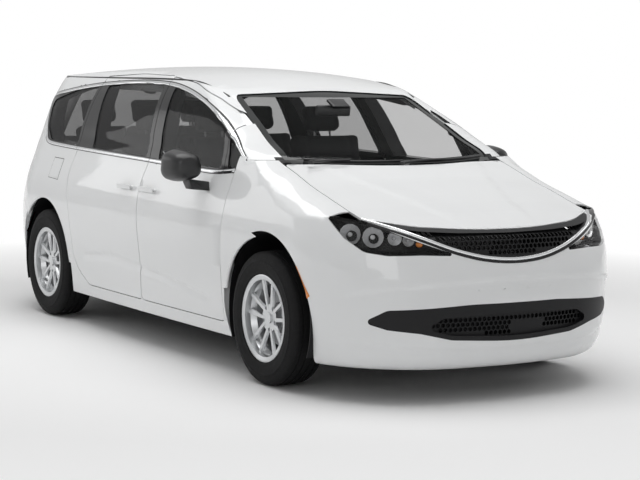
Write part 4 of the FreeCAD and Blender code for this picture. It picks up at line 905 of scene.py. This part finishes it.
# Half of the tyre's section, from bead to tread, as (radius, distance from the middle)
TYRE_SECTION = (
    (0.2190, 0.0860), (0.2300, 0.0960), (0.2460, 0.1050), (0.2500, 0.1075), (0.2540, 0.1070),
    (0.2700, 0.1120), (0.2900, 0.1145), (0.3080, 0.1135), (0.3110, 0.1145), (0.3140, 0.1120),
    (0.3300, 0.1085), (0.3450, 0.1030), (0.3560, 0.0960), (0.3620, 0.0880), (0.3645, 0.0800),
    (0.3655, 0.0640), (0.3590, 0.0620), (0.3590, 0.0560), (0.3660, 0.0540), (0.3675, 0.0240),
    (0.3605, 0.0225), (0.3605, 0.0155), (0.3678, 0.0140), (0.3680, 0.0),
)
tread_radius = 0.352
sipes = 78
sipe_slant = 9.0
sipe_width = 0.14
ribs_per_sipe = 4.0
rib_inner = 0.300
rib_outer = 0.335
facets = 120
for axle, centre in AXLES:
    rubber = Finish("tyre_rubber_" + axle, (0.008, 0.008, 0.0085), 0.72, Specular_IOR_Level=0.2)
    along = rubber.axis("X") - centre
    height = rubber.axis("Z") - wheel_height
    out = (along * along + height * height).power(0.5)
    turns = height.angle_over(along) * (sipes / (2 * math.pi))
    slant = (rubber.axis("Y").absolute() - tyre_middle) * sipe_slant
    sipe = (turns + slant).fraction().below(sipe_width) * out.above(tread_radius)
    rib = (turns * ribs_per_sipe).fraction().below(0.5) * out.above(rib_inner) * out.below(rib_outer)
    dust = rubber.noise(40.0, 4.0)
    rubber.bump(dust * 0.15 - sipe - rib * 0.12, 0.004, 0.8)
    rubber.set("Roughness", dust * 0.2 + 0.62)
    for side, word in ((-1, "right"), (1, "left")):
        shape = bmesh.new()
        middle = tyre_middle * side
        section = list(TYRE_SECTION) + [(radius, -offset) for radius, offset in reversed(TYRE_SECTION[:-1])]
        places = [(centre, middle + offset, wheel_height + radius) for radius, offset in section]
        ring = [shape.verts.new(place) for place in places]
        for start, end in zip(ring, ring[1:] + ring[:1]):
            shape.edges.new((start, end))
        spun(shape, (centre, middle, wheel_height), (0, 1, 0), facets)
        bmesh.ops.recalc_face_normals(shape, faces=shape.faces)
        node = "tyre_" + axle + "_" + word
        piece = linked(node + "_moulded", shape, [rubber], body_of(node), crease=32.0)
        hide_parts(node)

# Side markers and fuel door. Thin lenses of amber and red plastic and a painted steel lid lie on
# the panels. Each is a flat grid stretched over four measured corners and laid on by rays.
amber_marker = Finish("amber_marker", (0.80, 0.24, 0.02), 0.2, Coat_Weight=1.0).grained(160.0, 0.0006, 0.5)
red_marker = Finish("red_marker", (0.42, 0.012, 0.014), 0.2, Coat_Weight=1.0).grained(160.0, 0.0006, 0.5)
SIDE_SKIN = ("front_bumper", "front_fenders", "rear_bumper", "side_frames")
outer_tree = skin(*SIDE_SKIN, "sliding_doors", "front_door_right")
narrow_gap = 0.004
flank = -0.95
lens_rise = 0.002
lens_thickness = 0.003


def over_corners(corners, columns, rows):
    """A flat grid, with the place of each of its points between four corners."""
    shape = bmesh.new()
    bmesh.ops.create_grid(shape, x_segments=columns, y_segments=rows, size=0.5)
    a, b, c, d = [Vector(corner) for corner in corners]
    spots = []
    for vert in shape.verts:
        u = vert.co.x + 0.5
        v = vert.co.y + 0.5
        spots.append((vert, (a * (1 - u) + b * u) * (1 - v) + (d * (1 - u) + c * u) * v))
    return shape, spots


def laid_patch(corners, rise, thickness, cells=10):
    """A thin plate laid on the right hand side, over four corners given as (x, z)."""
    shape, spots = over_corners(corners, cells, cells)
    for vert, (x, z) in spots:
        depth = side_surface(outer_tree, x, z, narrow_gap)
        vert.co = (x, (depth if depth is not None else flank) - rise, z)
    return walled(shape, thickness)


AMBER_CORNERS = ((1.943, 0.690), (1.958, 0.690), (2.060, 0.545), (2.040, 0.531))
RED_CORNERS = ((-1.880, 0.540), (-1.746, 0.688), (-1.762, 0.694), (-1.905, 0.552))
LID_CORNERS = ((-1.470, 0.962), (-1.300, 0.955), (-1.292, 1.088), (-1.462, 1.092))
LID_LINE = ((-1.474, 0.958), (-1.296, 0.951), (-1.288, 1.092), (-1.466, 1.096))
MARKERS = (
    ("front_side_markers", AMBER_CORNERS, amber_marker),
    ("rear_side_markers", RED_CORNERS, red_marker),
)
for name, corners, finish in MARKERS:
    lens = laid_patch(corners, lens_rise, lens_thickness)
    linked(name, both_sides(lens), [finish], "body", crease=40.0)
lid_thickness = 0.002
lid = tinted(laid_patch(LID_CORNERS, 0.0012, lid_thickness), 0)
lid_seal = tinted(laid_patch(LID_LINE, 0.0004, lid_thickness), 1)
linked("fuel_door", joined([lid, lid_seal]), [paint, seal_black], "body", crease=40.0)

# Seats. Foam under woven cloth on a plastic plinth, with steel posts for the head restraints. Each
# kind of pad is swelled once by cloth pressure and copied to every seat, then its bolsters are
# raised and its seams pressed in.
seat_cloth = Finish("seat_cloth", (0.034, 0.034, 0.036), 0.92)
weave_pitch = 1400.0
warp = (seat_cloth.axis("Y") * weave_pitch).sine() * (seat_cloth.axis("Z") * weave_pitch).sine()
cloth_tone = seat_cloth.noise(30.0, 4.0)
dark_thread = (0.026, 0.026, 0.028)
light_thread = (0.046, 0.046, 0.049)
seat_cloth.set("Base Color", seat_cloth.mix(cloth_tone, dark_thread, light_thread))
seat_cloth.bump(warp, 0.0008, 0.5)
pad_voxel = 0.012
pad_swell = 0.014
pad_edge = 0.032
cloth_pressure = 4.0
cloth_frames = 20
seam_depth = 0.006
seam_width = 0.009
bolster = 0.016
bolster_start = 0.55
bolster_run = 0.25
bolster_end = 0.12
pad_crown = 0.010
face_drop = 0.008
side_pull = 0.006


def block(size):
    """A plain block to round or flare."""
    shape = bmesh.new()
    bmesh.ops.create_cube(shape, size=1.0)
    bmesh.ops.scale(shape, vec=size, verts=shape.verts)
    return shape


def rounded(shape, edges, offset, segments=3):
    bmesh.ops.bevel(
        shape, geom=edges, offset=offset, segments=segments, affect="EDGES", profile=0.5, material=-1
    )


def swelled(name, size):
    """A pad of a given size, rounded, remeshed and blown up by cloth pressure."""
    shape = block([length - pad_swell for length in size])
    rounded(shape, shape.edges[:], pad_edge)
    mesh = bpy.data.meshes.new(name)
    shape.to_mesh(mesh)
    shape.free()
    holder = bpy.data.objects.new(name, mesh)
    scene.collection.objects.link(holder)
    remesh = holder.modifiers.new("voxels", "REMESH")
    remesh.mode = "VOXEL"
    remesh.voxel_size = pad_voxel
    graph = bpy.context.evaluated_depsgraph_get()
    pad = bpy.data.meshes.new_from_object(holder.evaluated_get(graph))
    holder.modifiers.clear()
    holder.data = pad
    cloth = holder.modifiers.new("cloth", "CLOTH")
    cloth.settings.use_pressure = True
    cloth.settings.uniform_pressure_force = cloth_pressure
    cloth.settings.effector_weights.gravity = 0.0
    cloth.point_cache.frame_start = 1
    cloth.point_cache.frame_end = cloth_frames
    for step in range(1, cloth_frames + 1):
        scene.frame_set(step)
    graph = bpy.context.evaluated_depsgraph_get()
    blown = holder.evaluated_get(graph).to_mesh()
    for vert, after in zip(pad.vertices, blown.vertices):
        move = after.co - vert.co
        vert.co += move * min(1.0, pad_swell / max(move.length, pad_swell))
    holder.modifiers.clear()
    scene.frame_set(1)
    bpy.data.objects.remove(holder)
    return pad


def pressed_seam(distance):
    return seam_depth * math.exp(-((distance / seam_width) ** 2))


def upholstered(pad, size, side_seams, cross_seams, face_axis, long_axis):
    """A copy of a pad with raised side bolsters and pressed seams on its front."""
    shape = bmesh.new()
    shape.from_mesh(pad)
    shape.normal_update()
    half = size[1] / 2
    length = size[long_axis]
    for vert in shape.verts:
        facing = eased((vert.normal[face_axis] - 0.1) / 0.5)
        side = abs(vert.co.y)
        along = vert.co[long_axis]
        bulge = math.cos(math.pi * along / length)
        rise = pad_crown * bulge - face_drop
        out = side / half
        rise += bolster * eased((out - bolster_start) / bolster_run) * eased((1.0 - out) / bolster_end)
        rise -= sum(pressed_seam(side - seam * half) for seam in side_seams)
        rise -= sum(pressed_seam(along - seam * length) for seam in cross_seams)
        vert.co[face_axis] += facing * rise
        vert.co.y -= math.copysign(side_pull * bulge, vert.co.y) * abs(vert.normal.y)
    return shape


cushion_size = (0.510, 0.500, 0.140)
back_size = (0.130, 0.500, 0.620)
head_size = (0.090, 0.270, 0.180)
cushion_pad = swelled("cushion_pad", cushion_size)
back_pad = swelled("back_pad", back_size)
head_pad = swelled("head_pad", head_size)
side_seams = (0.62,)
cushion_shift = 0.005
cushion_thickness = 0.140
back_foot = 0.250
back_rake = math.radians(-16.0)
back_low = -0.020
back_middle_x = 0.005
head_gap = 0.012
post_radius = 0.007
post_spread = 0.060
post_overlap = 0.040
plinth_length = 0.400
plinth_share = 0.66
plinth_overlap = 0.020
plinth_edge = 0.018
PLINTH_FLARE = (1.08, 1.06)
seat_steel = Finish("seat_post_steel", (0.55, 0.55, 0.56), 0.25, Metallic=1.0)
seat_plastic = Finish("seat_shell_plastic", (0.020, 0.020, 0.021), 0.6).grained(600.0, 0.0003, 0.5)

# Seats: name, x, y, width, cushion height, back height, floor height, places, CAD node
SEATS = (
    ("front_seat_right", 0.330, -0.400, 0.520, 0.560, 0.620, 0.286, 1, "front_seats"),
    ("front_seat_left", 0.330, 0.400, 0.520, 0.560, 0.620, 0.286, 1, "front_seats"),
    ("middle_seat_right", -0.560, -0.400, 0.500, 0.560, 0.600, 0.286, 1, "middle_seats"),
    ("middle_seat_left", -0.560, 0.400, 0.500, 0.560, 0.600, 0.286, 1, "middle_seats"),
    ("rear_bench", -1.500, 0.0, 1.180, 0.640, 0.540, 0.520, 3, "rear_bench"),
)
for name, x, y, width, base, back_height, floor_height, places, node in SEATS:
    share = width / places
    hinge = Matrix.Translation((x - back_foot, y, base + cushion_thickness))
    upper = hinge @ Matrix.Rotation(back_rake, 4, "Y")
    frame_shapes = []
    for place in range(places):
        offset = (place - (places - 1) / 2) * share
        tag = name if places == 1 else name + "_" + str(place + 1)
        shape = upholstered(cushion_pad, cushion_size, side_seams, (-0.12, 0.22), 2, 0)
        bmesh.ops.scale(shape, vec=(1, share / cushion_size[1], 1), verts=shape.verts)
        middle = (x + cushion_shift, y + offset, base + cushion_thickness / 2)
        bmesh.ops.translate(shape, vec=middle, verts=shape.verts)
        piece = linked(tag + "_cushion", shape, [seat_cloth], "body", 60.0)
        if place == 0:
            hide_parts(node)
        shape = upholstered(back_pad, back_size, side_seams, (-0.10, 0.25), 0, 2)
        tall = back_height - back_low
        bmesh.ops.scale(shape, vec=(1, share / back_size[1], tall / back_size[2]), verts=shape.verts)
        bmesh.ops.translate(shape, vec=(back_middle_x, offset, back_low + tall / 2), verts=shape.verts)
        bmesh.ops.transform(shape, matrix=upper, verts=shape.verts)
        piece = linked(tag + "_back", shape, [seat_cloth], "body", 60.0)
        shape = upholstered(head_pad, head_size, (), (0.0,), 0, 2)
        head_middle = back_height + head_gap + head_size[2] / 2
        bmesh.ops.translate(shape, vec=(0, offset, head_middle), verts=shape.verts)
        bmesh.ops.transform(shape, matrix=upper, verts=shape.verts)
        piece = linked(tag + "_head_restraint", shape, [seat_cloth], "body", 60.0)
        for side in (-1, 1):
            post_side = offset + side * post_spread
            foot = upper @ Vector((0, post_side, back_height - post_overlap))
            head = upper @ Vector((0, post_side, back_height + head_gap + post_overlap))
            frame_shapes.append(tinted(bead([foot, (foot + head) / 2, head], post_radius), 1))
    plinth_height = base + plinth_overlap - floor_height
    plinth = block((plinth_length, width * plinth_share, plinth_height))
    for vert in plinth.verts:
        if vert.co.z > 0:
            vert.co.x *= PLINTH_FLARE[0]
            vert.co.y *= PLINTH_FLARE[1]
    rounded(plinth, plinth.edges[:], plinth_edge)
    bmesh.ops.translate(plinth, vec=(x, y, floor_height + plinth_height / 2), verts=plinth.verts)
    frame_shapes.append(plinth)
    linked(name + "_frame", joined(frame_shapes), [seat_plastic, seat_steel], "body", crease=40.0)

# Mirrors. The door mirrors are black plastic housings with silvered glass set in the rear face. The
# small mirror in the cabin hangs on a stalk behind the windscreen, under a black sensor cover.
mirror_glass = Finish("mirror_glass", (0.80, 0.82, 0.83), 0.02, Metallic=1.0)
satin_black = Finish("satin_black", (0.010, 0.010, 0.011), 0.38, Coat_Weight=0.2).grained(500.0, 0.0001, 0.3)


def rear_plate(tree, x, sides, heights, rise, thickness, cells=8):
    """A thin upright rectangle laid on a surface as seen from behind."""
    (start, end), (low, high) = sides, heights
    corners = ((x, start, low), (x, end, low), (x, end, high), (x, start, high))
    shape, spots = over_corners(corners, cells, cells)
    rearward = Vector((-1, 0, 0))
    for vert, spot in spots:
        hit = tree.ray_cast(spot + rearward, -rearward)[0]
        vert.co = (hit if hit is not None else spot) + rearward * rise
    return walled(shape, thickness)


def rounded_block(size, place, edge, lean=0.0):
    """A block with rounded edges, leaning about Y."""
    shape = block(size)
    rounded(shape, shape.edges[:], edge, 4)
    bmesh.ops.rotate(shape, cent=(0, 0, 0), matrix=Matrix.Rotation(lean, 3, "Y"), verts=shape.verts)
    bmesh.ops.translate(shape, vec=place, verts=shape.verts)
    return shape


# The head is drawn up, forward and larger about its middle, with the foot left on the door
head_middle_x = 0.785
head_middle_z = 1.140
head_length_share = 1.12
head_height_share = 1.10
HEAD_MOVE = Vector((0.065, 0.0, 0.022))
FOOT_MOVE = Vector((0.060, 0.0, 0.0))
head_side = 0.960
neck_width = 0.050
for side, word in ((-1, "right"), (1, "left")):
    shape = cad_copy("mirror_" + word)
    for vert in shape.verts:
        head = eased((abs(vert.co.y) - head_side) / neck_width)
        grown = Vector((
            head_middle_x + (vert.co.x - head_middle_x) * head_length_share,
            vert.co.y,
            head_middle_z + (vert.co.z - head_middle_z) * head_height_share,
        ))
        vert.co = vert.co.lerp(grown + HEAD_MOVE, head) + FOOT_MOVE * (1 - head)
    shape.normal_update()
    tree = BVHTree.FromBMesh(shape)
    piece = linked("mirror_housing_" + word, shape, [satin_black], "front_door_" + word, crease=40.0)
    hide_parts("mirror_" + word)
    glass = rear_plate(tree, 0.75, (1.005 * side, 1.160 * side), (1.115, 1.240), 0.0008, 0.003, 10)
    linked("mirror_glass_" + word, glass, [mirror_glass], "front_door_" + word, crease=40.0)

mirror_lean = math.radians(8.0)
screen_lean = math.radians(27.0)
inner = rounded_block((0.030, 0.240, 0.066), (0.705, 0.0, 1.468), 0.012, mirror_lean)
stalk = bead([(0.715, 0.0, 1.495), (0.722, 0.0, 1.515), (0.732, 0.0, 1.532)], 0.009)
cover = rounded_block((0.095, 0.120, 0.020), (0.765, 0.0, 1.512), 0.008, screen_lean)
glass = tinted(rounded_block((0.004, 0.222, 0.050), (0.688, 0.0, 1.466), 0.0018, mirror_lean), 1)
shape = joined([inner, stalk, cover, glass])
linked("rear_view_mirror", shape, [satin_black, mirror_glass], "body", crease=40.0)

# Wipers. Two black steel arms turn on pivots in the cowl, and each carries a rubber blade that lies
# on the windscreen just above its foot. Arms and blades are beads laid on the glass by rays.
screen_tree = skin("windscreen", "cowl")
screen_foot = 1.19
RIGHT_BLADE = ((1.385, -0.600), (1.440, -0.420), (1.466, -0.240), (1.470, -0.060), (1.468, 0.010))
LEFT_BLADE = ((1.470, 0.060), (1.466, 0.200), (1.440, 0.380), (1.400, 0.540), (1.372, 0.620))

# Wipers: pivot, end of the arm, line of the blade, all as (x, y)
WIPERS = (
    ((1.485, -0.610), (1.455, -0.340), RIGHT_BLADE),
    ((1.505, -0.020), (1.470, 0.300), LEFT_BLADE),
)


def from_above(tree, x, y):
    return tree.ray_cast(Vector((x, y, 2.5)), Vector((0, 0, -1)))[0]


def on_screen(x, y, rise):
    hit = from_above(screen_tree, x, y)
    return Vector((x, y, (hit.z if hit is not None else screen_foot) + rise))


shapes = []
for pivot, grip, blade in WIPERS:
    shapes.append(tinted(bead([on_screen(x, y, 0.006) for x, y in blade], 0.004), 1))
    shapes.append(bead([on_screen(x, y, 0.015) for x, y in blade], 0.006))
    root = on_screen(*pivot, 0.014)
    tip = on_screen(*grip, 0.024)
    shapes.append(bead([root, root * 0.6 + tip * 0.4 + Vector((0, 0, 0.010)), tip], 0.007))
    cap = bmesh.new()
    bmesh.ops.create_cone(cap, cap_ends=True, segments=24, radius1=0.016, radius2=0.012, depth=0.022)
    rims = [edge for edge in cap.edges if len(edge.link_faces) == 2 and edge.calc_face_angle() > 1.0]
    rounded(cap, rims, 0.003)
    bmesh.ops.translate(cap, vec=root, verts=cap.verts)
    shapes.append(cap)
linked("windscreen_wipers", joined(shapes), [satin_black, seal_black], "body", crease=40.0)

# Roof strips. Black rubber lines the joint between roof and side frame, from the top corner of the
# windscreen back to the tail.
roof_tree = skin("roof_panel", "side_frames")
DITCH_LINE = (
    (0.600, -0.655), (0.400, -0.665), (0.100, -0.672), (-0.300, -0.674), (-0.800, -0.672), (-1.400, -0.660),
    (-1.900, -0.640),
)
ditch_half_width = 0.012
strip_rise = 0.0005
strip_radius = 0.0065
line = []
for x, y in DITCH_LINE:
    heights = []
    for edge in (y - ditch_half_width, y + ditch_half_width):
        hit = from_above(roof_tree, x, edge)
        if hit is not None:
            heights.append(hit.z)
    if heights:
        line.append((x, y, sum(heights) / len(heights) + strip_rise))
linked("roof_strips", both_sides(bead(line, strip_radius)), [seal_black], "body", crease=40.0)

# Rear end fittings. A red stop lamp over the glass, a black release strip and a wiper ride on the
# tailgate, and two red reflectors sit in the bumper. All are laid on the rear surfaces by rays.
tail_tree = skin("tailgate", "tailgate_glass", "rear_bumper")
stop = tinted(rear_plate(tail_tree, -2.3, (-0.17, 0.17), (1.592, 1.612), 0.002, 0.006, 12), 1)
release = rear_plate(tail_tree, -2.5, (-0.30, 0.30), (0.905, 0.945), 0.004, 0.010, 14)
blade_rise = 0.012
blade_radius = 0.006
line = []
for y, z in ((-0.02, 1.210), (0.12, 1.235), (0.28, 1.262)):
    hit = tail_tree.ray_cast(Vector((-4.0, y, z)), Vector((1, 0, 0)))[0]
    line.append(hit - Vector((blade_rise, 0, 0)))
shape = joined([stop, release, bead(line, blade_radius)])
linked("tailgate_fittings", shape, [satin_black, red_marker], "tailgate", crease=40.0)
lens = rear_plate(tail_tree, -2.5, (-0.62, -0.76), (0.470, 0.510), 0.002, 0.004)
linked("rear_reflectors", both_sides(lens), [red_marker], "body", crease=40.0)

# Cabin fittings. A glossy screen and slatted vents of black plastic are laid on the dashboard's
# face, and a moulded grab handle hangs from the roof lining over each side door.
board_tree = skin("dashboard")
board_x = 0.42
vent_half_width = 0.045
vent_foot = 1.000
slat_height = 0.005
slat_pitch = 0.013
shapes = [tinted(rear_plate(board_tree, board_x, (-0.13, 0.13), (0.955, 1.075), 0.003, 0.006), 1)]
for middle in (-0.62, -0.20, 0.20, 0.62):
    for row in range(5):
        low = vent_foot + row * slat_pitch
        sides = (middle - vent_half_width, middle + vent_half_width)
        shapes.append(rear_plate(board_tree, board_x, sides, (low, low + slat_height), 0.003, 0.005, 2))
linked("dashboard_fittings", joined(shapes), [satin_black, gloss_black], "body", crease=None)
handle_radius = 0.008

# Line of a grab handle as (distance back, y, z)
HANDLE_LINE = (
    (0.00, -0.630, 1.575), (0.01, -0.605, 1.555), (0.09, -0.600, 1.550), (0.17, -0.605, 1.555),
    (0.18, -0.630, 1.575),
)
handles = [bead([(x - back, y, z) for back, y, z in HANDLE_LINE], handle_radius) for x in (0.30, -0.50)]
linked("grab_handles", both_sides(joined(handles)), [headliner], "body", crease=40.0)

# Pillar covers and arch lips. Painted steel closes the corner between each front pillar and the
# windscreen, and a rolled lip follows each wheel arch, laid on the panels by rays.
PILLAR_CORNERS = (
    (0.600, -0.640, 1.545), (1.040, -0.676, 1.338), (1.040, -0.768, 1.305), (0.600, -0.728, 1.510),
)
pillar_cover_thickness = 0.002
ARCH_CENTRES = (1.610, -1.492)
arch_centre_height = 0.39
lip_line_radius = 0.433
lip_foot = 0.24
lip_radius = 0.009
lip_sink = 0.006
panel_radius = 0.447
lip_steps = 48
lip_start = math.radians(-12.0)
lip_sweep = math.radians(204.0)
shape, spots = over_corners(PILLAR_CORNERS, 8, 6)
for vert, spot in spots:
    vert.co = spot
shapes = [walled(shape, pillar_cover_thickness)]
arch_tree = skin(*SIDE_SKIN)
for centre in ARCH_CENTRES:
    line = []
    for step in range(lip_steps + 1):
        turn = lip_start + lip_sweep * step / lip_steps
        along = math.cos(turn)
        up = math.sin(turn)
        panel_x = centre + panel_radius * along
        panel_z = arch_centre_height + panel_radius * up
        depth = side_surface(arch_tree, panel_x, panel_z, narrow_gap)
        z = arch_centre_height + lip_line_radius * up
        if depth is not None and z > lip_foot:
            line.append((centre + lip_line_radius * along, depth + lip_sink, z))
    shapes.append(bead(line, lip_radius))
linked("body_lips", both_sides(joined(shapes)), [paint], "body", 50.0)

# Plain CAD parts. Rims, grilles, lamps at the rear, chassis and cabin trim keep the shape of their
# solids and take a finish by the record's material slot.
SLOT_FINISH = {
    "dark_plastic": Finish("black_plastic", (0.010, 0.010, 0.011), 0.5, Specular_IOR_Level=0.25),
    "steel": Finish("machined_steel", (0.42, 0.42, 0.43), 0.38, Metallic=1.0),
    "underbody": Finish("underbody", (0.03, 0.03, 0.032), 0.85),
    "chassis_black": Finish("chassis_black", (0.02, 0.02, 0.02), 0.6),
    "cast_metal": Finish("cast_metal", (0.30, 0.30, 0.30), 0.6, Metallic=1.0),
    "alloy": Finish("silver_alloy", (0.62, 0.63, 0.64), 0.32, Metallic=0.85, Coat_Weight=0.6),
    "interior": trim_grey,
    "red_lens": Finish("red_lens", (0.45, 0.01, 0.012), 0.12, Coat_Weight=1.0),
}
SLOT_FINISH["dark_plastic"].grained(800.0, 0.0002, 0.5)
for part in frame["record"]["subparts"]:
    finish = SLOT_FINISH.get(part["material_slot"])
    if finish:
        mesh = nodes[part["node"]].data
        mesh.materials.clear()
        mesh.materials.append(finish.material)

low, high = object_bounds()
